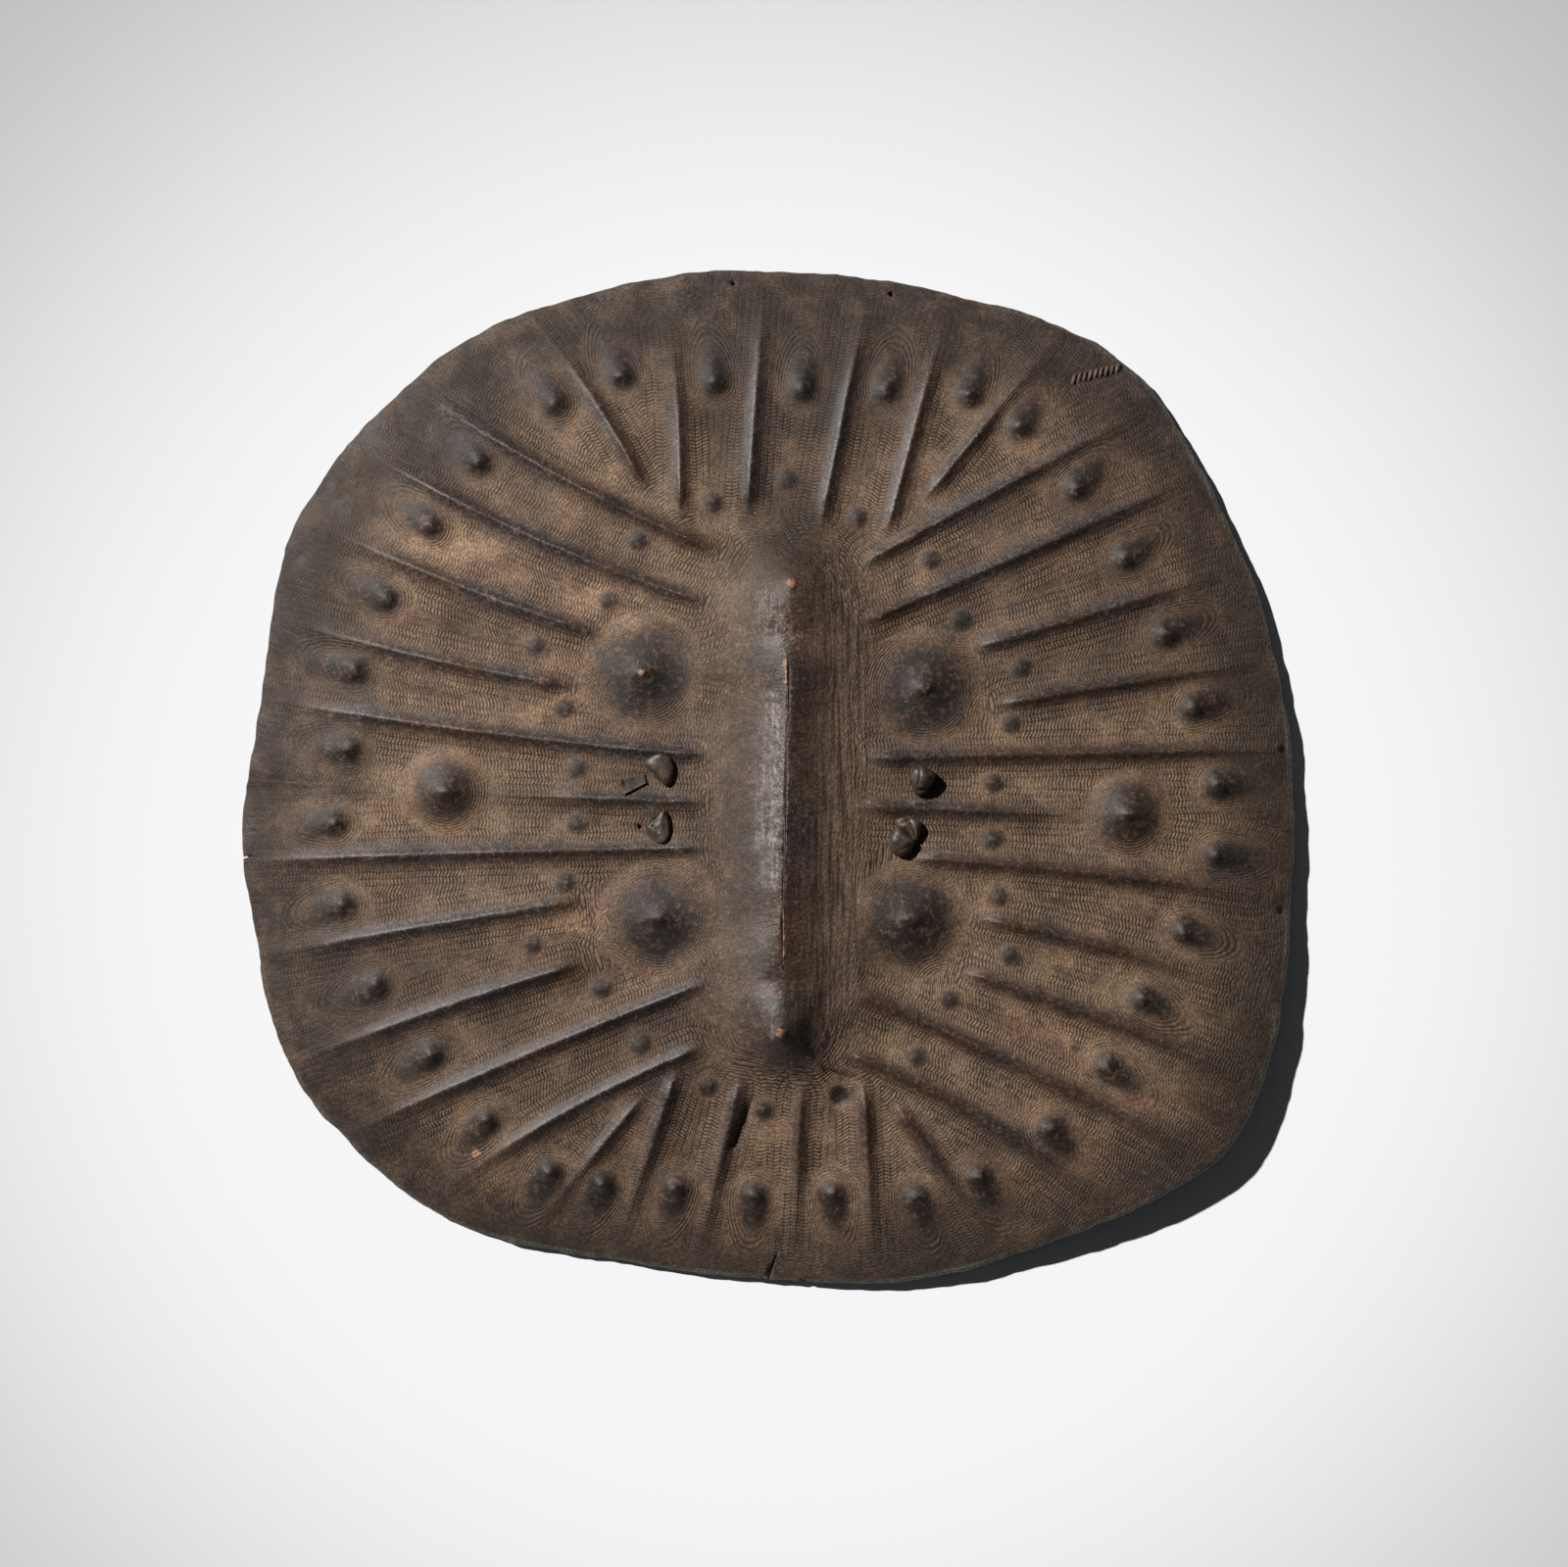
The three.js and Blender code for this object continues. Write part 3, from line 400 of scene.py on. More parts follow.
def ovalRay(s):  # the point of the spine that a ray starts from, and its direction
    s = np.mod(s, ovalRun)
    onRight, onTop = s < sideRun, (s >= sideRun) & (s < sideRun + capRun)
    onLeft = (s >= sideRun + capRun) & (s < 2 * sideRun + capRun)
    turn = np.select(
        [onRight, onTop, onLeft],
        [0 * s, (s - sideRun) / ovalRadius, 0 * s + math.pi],
        math.pi + (s - 2 * sideRun - capRun) / ovalRadius,
    )
    run = np.select([onRight, onTop, onLeft], [s, 0 * s + sideRun, 2 * sideRun + capRun - s], 0)
    start = spineBottom + spineUp * run[:, None]
    way = spineRight * np.cos(turn)[:, None] + spineUp * np.sin(turn)[:, None]
    return start, way


def ovalPlace(point):
    run, off = (point - spineBottom) @ spineUp, (point - spineBottom) @ spineRight
    if 0 <= run <= sideRun:
        return run if off > 0 else 2 * sideRun + capRun - run
    if run > sideRun:
        return sideRun + ovalRadius * math.atan2(run - sideRun, off)
    turn = math.atan2(run, off)
    return 2 * sideRun + capRun + ovalRadius * (turn % (2 * math.pi) - math.pi)


def spreadOvalPlaces():
    places = []
    for ridge in ridges:
        s = ovalPlace(ridge.inner)
        while places and s < places[-1] - ovalRun / 2:
            s += ovalRun
        places.append(s)
    for _ in range(400):  # pushed apart bit by bit until none is too close
        for i in range(len(places)):
            j = (i + 1) % len(places)
            wrap = ovalRun if j == 0 else 0
            short = grid["leastGap"] - (places[j] + wrap - places[i])
            if short > 0:
                places[i] -= short / 2
                places[j] += short / 2
    return np.array(places)


def rimEnd(ridge):  # where the ridge's straight line would meet the rim
    onLine = lambda share: ridge.inner + ridge.along * ridge.length * share
    inRim = lambda p: np.hypot(*p) < rimReach(math.atan2(p[1], p[0]))
    return onLine(lastInside(0.6, 3.0, 1e-6, lambda share: inRim(onLine(share))))


def evenly(points, shares):
    steps = np.hypot(*np.diff(points, axis=0).T)
    run = np.concatenate(([0], np.cumsum(steps)))
    run = run / run[-1]
    return np.stack([np.interp(shares, run, points[:, k]) for k in range(2)], 1)


def rowShares(count):
    v = np.linspace(0, 1, 2000)
    crowd, start, startRun, end, endRun = grid["bossCrowd"]
    density = 1 + crowd * ramp((v - start) / startRun) * ramp((end - v) / endRun)
    crowd, start, startRun = grid["rimCrowd"]
    density = density + crowd * ramp((v - start) / startRun)
    run = np.concatenate(([0], np.cumsum((density[1:] + density[:-1]) / 2)))
    return np.interp(np.linspace(0, 1, count), run / run[-1], v)


def planRows(rowCount, innerCount):  # rows of plan points from the keel's crest to the rim
    outerCount, count = rowCount - innerCount, len(ridges)
    places = spreadOvalPlaces()
    ovalStart, ovalWay = ovalRay(places)
    ovalEnds = ovalStart + ovalWay * ovalRadius
    rimEnds = np.array([rimEnd(ridge) for ridge in ridges])
    shares = rowShares(outerCount)
    lines = []
    for ridge, oval, end in zip(ridges, ovalEnds, rimEnds):
        onRidge = [ridge.point(t) for t in np.linspace(0, 1, 24)]
        kept = [p for p in onRidge if spineDistance(*p) > ovalRadius + 2]
        lines.append(evenly(np.array([oval] + kept + [end]), shares))
    f = np.arange(grid["columnsInPanel"]) / grid["columnsInPanel"]
    f = f - grid["columnCrowding"] * np.sin(2 * math.pi * f)
    rows = [[] for _ in range(rowCount)]
    crestShares = np.linspace(0, 1, innerCount + 1)[:-1] ** grid["crestPower"]
    for i in range(count):
        j = (i + 1) % count
        nextPlace = places[j] + (ovalRun if j == 0 else 0)
        start, way = ovalRay(places[i] + (nextPlace - places[i]) * f)
        for row, share in enumerate(crestShares):
            rows[row].append(start + way * (1.0 + (ovalRadius - 1.0) * share))
        oval = start + way * ovalRadius
        angleI = math.atan2(rimEnds[i][1], rimEnds[i][0])
        angleJ = math.atan2(rimEnds[j][1], rimEnds[j][0])
        angle = angleI + ((angleJ - angleI) % (2 * math.pi)) * f
        reach = rimReach(np.mod(angle + math.pi, 2 * math.pi) - math.pi)
        rim = np.stack([np.cos(angle), np.sin(angle)], 1) * reach[:, None]
        mix = f[:, None]
        for row, v in enumerate(shares):
            between = lines[i][row] * (1 - mix) + lines[j][row] * mix
            atRim = rim - rimEnds[i] * (1 - mix) - rimEnds[j] * mix
            atOval = oval - ovalEnds[i] * (1 - mix) - ovalEnds[j] * mix
            rows[innerCount + row].append(between + v * atRim + (1 - v) * atOval)
    return np.array([np.concatenate(row) for row in rows])


def finishedMesh(bm, name, material=None):
    mesh = bpy.data.meshes.new(name)
    bm.to_mesh(mesh)
    bm.free()
    for face in mesh.polygons:
        face.use_smooth = True
    piece = bpy.data.objects.new(name, mesh)
    bpy.context.scene.collection.objects.link(piece)
    if material:
        mesh.materials.append(material)
    return piece


def applyModifiers(piece):
    graph = bpy.context.evaluated_depsgraph_get()
    mesh = bpy.data.meshes.new_from_object(piece.evaluated_get(graph))
    old = piece.data
    piece.modifiers.clear()
    piece.data = mesh
    bpy.data.meshes.remove(old)


def skinPoints():  # the hide's rows: over the face, round the cut edge, and back under to the middle
    front = planRows(*grid["frontRows"])
    back = planRows(*grid["backRows"])[::-1]
    outward = front[-1] / np.hypot(*front[-1].T)[:, None]
    size = np.hypot(front[..., 0], front[..., 1])
    room = rimReach(np.arctan2(front[..., 1], front[..., 0])) - size
    inset = grid["edgeInset"] * np.clip(1 - room / grid["insetReach"], 0, 1)
    front = front * (1 - inset / np.maximum(size, 1))[..., None]
    rows = [np.stack([*frayed(*r.T), faceHeight(*r.T)], 1) for r in front]
    backRows = []
    for r in back:
        x, y, z = backPoint(*r.T)
        backRows.append(np.stack([*frayed(x, y), z], 1))
    top, low = rows[-1], backRows[0]
    for share, bulge in grid["edgeRows"]:
        between = top * (1 - share) + low * share
        between[:, :2] += outward * grid["edgeInset"] * bulge
        rows.append(between)
    return np.array(rows + backRows)


def closedGrid(points, scale=1):  # rows of points in millimetres, joined round and closed at both ends
    rowCount, columnCount = points.shape[:2]
    bm = bmesh.new()
    bmesh.ops.create_grid(bm, x_segments=columnCount, y_segments=rowCount - 1, size=1)
    for vert in bm.verts:
        column = round((vert.co.x + 1) / 2 * columnCount) % columnCount
        row = round((vert.co.y + 1) / 2 * (rowCount - 1))
        vert.co = Vector(points[row, column]) * scale
    bmesh.ops.remove_doubles(bm, verts=bm.verts, dist=1e-4 * scale)
    bmesh.ops.holes_fill(bm, edges=[edge for edge in bm.edges if edge.is_boundary], sides=0)
    bmesh.ops.triangulate(bm, faces=[face for face in bm.faces if len(face.verts) > 4])
    bmesh.ops.recalc_face_normals(bm, faces=bm.faces)
    return bm


# Cuts through the hide: the grips' slits, rim holes, and the two tears
cuts = {
    "slit": (5.5, 12.0, 60),  # width, length and depth, and below how high its middle is
    "slitMiddle": 80,
    "holes": [(294, 32, 1.9), (293, -63, 1.9), (63, 301, 1.3), (-30, 307, 0.8), (-84.5, -13.5, 1.0)],
    "nicks": [(-318, 59, 3.2), (11, -285, 3.4), (-11, -283, 3.0)],
    "holeDepth": 160,
    "holeMiddle": 40,
    "holeSides": 14,
    "holeStretch": 1.25,  # the holes are a little longer than wide
    "tears": [((-326, -33), (-314, -31), 2.4), ((-12, -284), (-3, -263), 4.5)],  # ends, width
    "tearSpan": (-20, 60),  # from how low, and how tall
}


def makeCutters():
    bm = bmesh.new()
    size = Matrix.Diagonal((*(length * mm for length in cuts["slit"]), 1))
    for x, y in plan["slits"]:
        middle = Matrix.Translation((x * mm, y * mm, cuts["slitMiddle"] * mm))
        bmesh.ops.create_cube(bm, matrix=middle @ size)
    for x, y, radius in cuts["holes"] + cuts["nicks"]:
        made = bmesh.ops.create_cone(bm, segments=cuts["holeSides"], cap_ends=True, radius1=radius * mm,
                                     radius2=radius * mm, depth=cuts["holeDepth"] * mm)
        bmesh.ops.scale(bm, verts=made["verts"], vec=(1, cuts["holeStretch"], 1))
        bmesh.ops.translate(bm, verts=made["verts"], vec=(x * mm, y * mm, cuts["holeMiddle"] * mm))
    low, height = cuts["tearSpan"]
    for outer, inner, width in cuts["tears"]:
        way = Vector((inner[0] - outer[0], inner[1] - outer[1], 0))
        side = Vector((-way.y, way.x, 0)).normalized() * width / 2
        corners = [Vector((*outer, low)) + side, Vector((*outer, low)) - side, Vector((*inner, low))]
        face = bm.faces.new([bm.verts.new(corner * mm) for corner in corners])
        made = bmesh.ops.extrude_face_region(bm, geom=[face])
        raised = [g for g in made["geom"] if isinstance(g, bmesh.types.BMVert)]
        bmesh.ops.translate(bm, verts=raised, vec=(0, 0, height * mm))
    bmesh.ops.recalc_face_normals(bm, faces=bm.faces)
    return finishedMesh(bm, "cutters")


# How each place on the hide is finished, kept on its vertices for the material
finishes = {
    "ridgeDark": 6.6,
    "ridgeSpread": 0.45,  # how much wider the dark band is at a ridge's outer end
    "ridgeRunIn": (16, 26),  # the dark band starts this far before the ridge, and comes in over this run
    "ridgeRunOut": (1.1, 95),  # it ends at this share of the length, and goes out over this run
    "largeBossDark": 29,
    "sideBossDark": 20,
    "rimBossDark": 10.5,
    "rimBossShape": (0.42, 0.95),  # how much its dark patch is drawn out towards the rim, and inwards
    "studDark": 7,
    "endBossDark": 27,
    "moundDark": 27,
    "moundBrown": 38,
    "flatTop": 12,  # of the mound, either side of the keel
    # the right flank is brushed, and also painted lighter there as painted light, since it faces away
    # from the light
    "brushedAndPaintedLight": (60, 26),  # how far from the keel the right flank is brushed, and its fade
    # rings struck round the bosses: inner and outer reach (for large ones, from the dark's edge)
    "rimBossRings": (8, 19),
    "largeBossRings": (-7, 9),
    "studRings": (5, 10),
    # half widths of the glossy places
    "gleams": {"ridge": 2.2, "rimBoss": 4.5, "largeBoss": 7, "stud": 4, "keel": 12},
    "rimGleam": (52, 30),  # how far in the rim is glossy in patches, and its fade
    "cutEdge": (3.0, 1.4),
    "untooled": (14, 10),  # how far in from the rim the tooling is weak, and its fade
    "moundTooling": (24, 26),  # how far from the keel the tooling starts, and its fade
    # painted highlights on the mound, where light glints off the top boss, the keel's left flank and the
    # bottom boss: start, end, half width
    "paintedHighlight": [((-8, 118), (-6, 102), 8.5), ((-8, -130), (-7, -134), 2.5), ((-6, 62), (-8, -44), 5.5),
                  ((-12, 20), (-14, -24), 4)],
    "raggedRim": [(46, 16, 41), (17, 9, 43)],  # size, reach and seed
    # the rim's band is its own darker colour, made wider and darker on the upper left, the side facing
    # the light, as painted shade
    "rimDarkAndShade": (84, 58),  # width of the darker band at the rim, on the upper left and the lower right
    # stretches painted paler or darker: partly hide that took the dye unevenly, partly painted light and
    # painted shade on slopes such as the mound's flanks and the top boss: start, end, half width, how
    # much paler
    "dyeAndPaintedLight": [
        ((-215, 158), (-105, 112), 24, 0.60), ((-225, 84), (-135, 62), 24, 0.28),
        ((-215, -60), (-120, -62), 20, 0.36), ((-190, 205), (-130, 165), 18, 0.10),
        ((120, -118), (200, -160), 22, 0.18), ((-60, 238), (95, 236), 40, -0.28),
        ((-2, 150), (6, 158), 28, -0.66), ((-165, -120), (-115, -98), 18, -0.34),
        ((140, 70), (235, 92), 24, -0.26), ((-40, 265), (-190, 235), 30, -0.20),
        ((-268, 120), (-190, 218), 34, -0.26), ((-288, -80), (-230, -190), 30, -0.16),
        ((-26, 50), (-26, -70), 10, -0.36), ((14, 102), (14, 124), 11, 0.5),
        ((6, 70), (5, -70), 6, 0.4), ((22, 222), (34, 250), 13, -0.52),
        ((-100, 40), (-96, -50), 20, 0.16), ((240, -200), (290, -60), 26, -0.10),
        ((-58, -30), (-58, -60), 10, 0.34), ((42, 50), (42, -50), 10, 0.20),
        ((100, 175), (135, 205), 18, 0.22), ((-78, -66), (-74, -72), 14, -0.22),
        ((-93, 74), (-88, 77), 14, -0.14), ((-14, 90), (-5, 86), 7, -0.30),
        ((9, 30), (9, -50), 6, 0.16), ((14, 112), (16, 96), 9, 0.30),
    ],
    "wornTips": [((4, 129), 3.2), ((-2, -134), 3.4), ((-83, 77), 2.6), ((82, 68), 1.6)],
    "wornPatches": [((-181, -206), 3.2), ((60, 151), 1.8), ((-50, 63), 1.4), ((70, 60), 1.5)],
    "wornCrests": [((0.9, 88), (0.6, 70), 0.9), ((-1.2, -94), (-0.9, -74), 1.1)],
}


def markFinishes(mesh, shift):
    count = len(mesh.vertices)
    co = np.empty(count * 3)
    mesh.vertices.foreach_get("co", co)
    co = co.reshape(-1, 3) / mm - shift
    x, y, z = co.T
    f = finishes
    across, along, weight = np.full(count, 99.0), np.zeros(count), np.full(count, 1e-9)
    polish, gleam = np.zeros(count), np.zeros(count)
    runIn, runOut, gleams = f["ridgeRunIn"], f["ridgeRunOut"], f["gleams"]
    for ridge in ridges:
        t, off = ridge.place(x, y)
        held = np.clip(t, 0, 1)
        toRidge = np.hypot(off, (t - held) * ridge.length)
        presence = ramp((t * ridge.length + runIn[0]) / runIn[1])
        presence = presence * ramp((runOut[0] - t) * ridge.length / runOut[1])
        across = np.minimum(across, toRidge)
        near = gauss(toRidge, 14) + 1e-7  # the nearer the ridge, the more its own run counts
        along += near * (t * ridge.length + spineDistance(*ridge.inner))
        weight += near
        width = f["ridgeDark"] * (1 + f["ridgeSpread"] * held)
        polish = np.maximum(polish, 0.9 * presence * gauss(off, width))
        gleam = np.maximum(gleam, presence * gauss(off, gleams["ridge"]))
    along = along / weight
    ringed, ringShare, stain = np.full(count, 99.0), np.zeros(count), np.zeros(count)

    def ringRound(distance, inner, outer):
        nonlocal ringed, ringShare
        closer = distance < ringed
        ringed = np.where(closer, distance, ringed)
        share = ramp((distance - inner) / 3) * ramp((outer - distance) / 5)
        ringShare = np.maximum(ringShare, share)

    for at, outward in rimBosses:
        a, b = alongAndAcross(x, y, at, outward)
        oval = np.hypot(np.where(a > 0, a * f["rimBossShape"][0], a * f["rimBossShape"][1]), b)
        polish = np.maximum(polish, np.exp(-((oval / f["rimBossDark"]) ** 3)))
        stain = np.maximum(stain, 0.95 * np.exp(-((oval / f["rimBossDark"]) ** 4)))
        ringRound(oval, *f["rimBossRings"])
        gleam = np.maximum(gleam, gauss(away(x, y, at), gleams["rimBoss"]))
    bosses = [(at, f["largeBossDark"], 1.0) for at in plan["largeBosses"]]
    bosses += [(at, f["sideBossDark"], 0.6) for at in plan["sideBosses"]]
    for at, dark, share in bosses:
        d = away(x, y, at)
        polish = np.maximum(polish, np.exp(-((d / dark) ** 4)))
        stain = np.maximum(stain, share * np.exp(-((d / dark) ** 6)))
        ringRound(d, *(dark + reach for reach in f["largeBossRings"]))
        gleam = np.maximum(gleam, 0.8 * gauss(d, gleams["largeBoss"]))
    for at in studs:
        d = away(x, y, at)
        polish = np.maximum(polish, 0.95 * np.exp(-((d / f["studDark"]) ** 4)))
        stain = np.maximum(stain, 0.8 * np.exp(-((d / f["studDark"]) ** 4)))
        ringRound(d, *f["studRings"])
        gleam = np.maximum(gleam, 0.5 * gauss(d, gleams["stud"]))
    d = spineDistance(x, y)
    onEnds = np.minimum(*(away(x, y, at) for at in plan["endBosses"]))
    polish = np.maximum(polish, 0.8 * gauss(d, f["moundDark"]))
    polish = np.maximum(polish, 0.6 * np.exp(-((onEnds / f["endBossDark"]) ** 3)))
    gleam = np.maximum(gleam, 0.9 * gauss(d, gleams["keel"]))
    # painted highlights: where light glints on the mound, laid into the colour
    paintedHighlight = np.zeros(count)
    for start, end, halfWidth in f["paintedHighlight"]:
        paintedHighlight = np.maximum(paintedHighlight, gauss(segmentDistance(x, y, start, end), halfWidth))
    moundBrown = gauss(np.maximum(d - f["flatTop"], 0), f["moundBrown"])
    # paler and darker stretches: partly uneven dye, partly painted light and painted shade
    dyeAndLight = np.zeros(count)
    for start, end, halfWidth, amount in f["dyeAndPaintedLight"]:
        dyeAndLight += amount * gauss(segmentDistance(x, y, start, end), halfWidth)
    # the brushed right flank, also painted lighter as painted light
    brushedAndPaintedLight = ramp((f["brushedAndPaintedLight"][0] - d) / f["brushedAndPaintedLight"][1]) * ramp((x - spineBottom[0] + 1) / 4)
    room = rimReach(np.arctan2(y, x)) - np.hypot(x, y)
    ragged = hills(x, y, f["raggedRim"])
    # the rim band: the rim's darker colour, with painted shade on the upper left
    lowerRight = ramp(0.5 + 0.8 * (0.62 * x - 0.6 * y) / np.maximum(np.hypot(x, y), 1))
    rimDarkAndShade = f["rimDarkAndShade"][0] * (1 - lowerRight) + f["rimDarkAndShade"][1] * lowerRight
    rimBand = ramp((rimDarkAndShade + ragged - room) / 58)
    patches = ramp(softNoise(x, y, 21, 47) * 2.2 - 0.1)
    gleam = np.maximum(gleam, 0.7 * ramp((f["rimGleam"][0] - room) / f["rimGleam"][1]) * patches)
    worn = np.zeros(count)
    for at, radius in f["wornTips"] + f["wornPatches"]:
        worn = np.maximum(worn, ramp(1.35 - away(x, y, at) / radius))
    for start, end, radius in f["wornCrests"]:
        worn = np.maximum(worn, ramp(1.35 - segmentDistance(x, y, start, end) / radius))
    normals = np.empty(count * 3)
    mesh.vertices.foreach_get("normal", normals)
    up = normals.reshape(-1, 3)[:, 2]
    onEdge = ramp((f["cutEdge"][0] - room) / f["cutEdge"][1]) * (0.15 + 0.85 * lowerRight)
    behind = np.where((up < -0.05) & (room > 2.5), 1.0, 0.0)
    tooled = 1 - ramp((polish - 0.35) / 0.3)
    tooled = tooled * (1 - ramp((f["untooled"][0] - room) / f["untooled"][1]) * 0.6)
    tooled = tooled * (1 - ringShare) * ramp((d - f["moundTooling"][0]) / f["moundTooling"][1])
    vectors = {
        "toolWay": (across, along, ringed),
        "tooled": (tooled, ringShare * (1 - ramp((polish - 0.6) / 0.3)), rimBand),
        "finish": (polish, worn, onEdge),
        "side": (behind, brushedAndPaintedLight, room),
        # shade: the lower right's share, the paler and darker stretches (partly painted light and
        # shade), and the glossy places
        "shade": (lowerRight, dyeAndLight, gleam),
        # ground: the mound's colour, the bosses' stain, and the painted highlights
        "ground": (moundBrown, stain, paintedHighlight),
    }
    for name, values in vectors.items():
        layer = mesh.attributes.new(name, "FLOAT_VECTOR", "POINT")
        layer.data.foreach_set("vector", np.stack(values, 1).astype(np.float32).ravel())


# Small helpers for node trees
def srgb(red, green, blue):
    def linear(value):
        value = value / 255
        return value / 12.92 if value < 0.04045 else ((value + 0.055) / 1.055) ** 2.4
    return (linear(red), linear(green), linear(blue), 1)


class Finish:  # a material's node tree, with short ways to add and join nodes
    def __init__(self, name):
        self.material = bpy.data.materials.new(name)
        self.material.use_nodes = True
        self.tree = self.material.node_tree
        self.shader = self.tree.nodes["Principled BSDF"]
        self.column = 0

    def put(self, socket, value):
        if isinstance(value, bpy.types.NodeSocket):
            self.tree.links.new(value, socket)
        else:
            socket.default_value = value

    def node(self, kind, inputs=(), **settings):
        made = self.tree.nodes.new(kind)
        self.column += 1
        made.location = (-2400 + (self.column % 16) * 190, 500 - (self.column // 16) * 260)
        for name, value in settings.items():
            setattr(made, name, value)
        for key, value in dict(inputs).items():
            self.put(made.inputs[key], value)
        return made

    def math(self, operation, a, b=0.0, c=0.0, clamp=False):
        made = self.node("ShaderNodeMath", {0: a, 1: b, 2: c}, operation=operation, use_clamp=clamp)
        return made.outputs[0]

    def times(self, a, b):
        return self.math("MULTIPLY", a, b)

    def timesPlus(self, a, b, c):
        return self.math("MULTIPLY_ADD", a, b, c)

    def rest(self, share):
        return self.math("SUBTRACT", 1.0, share)

    def sway(self, noise, amount, value):  # the value, more or less by the noise
        return self.timesPlus(self.math("SUBTRACT", noise, 0.5), amount, value)

    def spread(self, value, low, high, toLow=0.0, toHigh=1.0):
        made = self.node("ShaderNodeMapRange", {0: value, 1: low, 2: high, 3: toLow, 4: toHigh},
                         interpolation_type="SMOOTHSTEP")
        return made.outputs[0]

    def mix(self, share, a, b, blend="MIX"):
        made = self.node("ShaderNodeMix", {0: share, 6: a, 7: b}, data_type="RGBA", blend_type=blend)
        return made.outputs[2]

    def attribute(self, name):
        made = self.node("ShaderNodeAttribute", attribute_name=name)
        parts = self.node("ShaderNodeSeparateXYZ", {0: made.outputs["Vector"]})
        return parts.outputs

    def coordinates(self):
        return self.node("ShaderNodeTexCoord").outputs["Object"]

    def noise(self, size, detail=3.0, rough=0.55, at=None, stretch=None):
        at = at or self.coordinates()
        if stretch:
            at = self.node("ShaderNodeMapping", {"Vector": at, "Scale": stretch}).outputs[0]
        made = self.node("ShaderNodeTexNoise", {"Vector": at, "Scale": 1 / size, "Detail": detail,
                                                "Roughness": rough})
        return made.outputs[0]

    def bump(self, height, distance, strength=1.0, under=None):
        inputs = {"Height": height, "Distance": distance, "Strength": strength}
        if under:
            inputs["Normal"] = under
        return self.node("ShaderNodeBump", inputs).outputs[0]

    def wave(self, value, pitch, shift=0.0):  # a sine from 0 to 1 with that pitch
        turned = self.timesPlus(value, 2 * math.pi / pitch, shift)
        return self.timesPlus(self.math("SINE", turned), 0.5, 0.5)


# The hide's colours as the photograph's light shows them, and the tooling's pitch in millimetres
hideLook = {
    "panelLight": (138, 110, 86),
    "panelDeep": (96, 75, 60),
    "panelGrey": (90, 79, 73),
    "panelRed": (112, 80, 64),
    "toolLine": (46, 34, 27),
    "polished": (50, 44, 42),
    "polishedWarm": (66, 49, 39),
    "bossStain": (41, 32, 26),
    "bossFleck": (84, 64, 49),
    "moundBrown": (84, 68, 58),
    "moundDark": (58, 47, 41),
    # the brushed right flank's colour, made lighter as painted light on that flank, which faces away
    # from the light
    "brushedAndPaintedLight": (122, 100, 84),
    # a painted highlight's pale colour, for the glints on the mound
    "paintedHighlight": (140, 129, 122),
    "rim": (62, 50, 43),
    # the rim on the upper left, darker than on the lower right as painted shade
    "rimUpperPaintedShade": (42, 33, 29),
    "worn": (168, 122, 92),
    "cutEdge": (96, 95, 84),
    "back": (112, 92, 68),
    "backDeep": (72, 57, 42),
    "dashPitch": 2.1,
    "rowPitch": 3.9,
    "ringPitch": 1.7,
    "toolDepth": 0.0005,
    # blotches and grain: size in metres, detail and roughness of the noise
    "broad": [0.075, 4],
    "reddish": [0.035, 3],
    "patchy": [0.024, 4],
    "middling": [0.016, 5, 0.65],
    "wobble": [0.014, 2],
    "small": [0.0042, 4, 0.6],
    "fine": [0.0016, 4, 0.7],
}


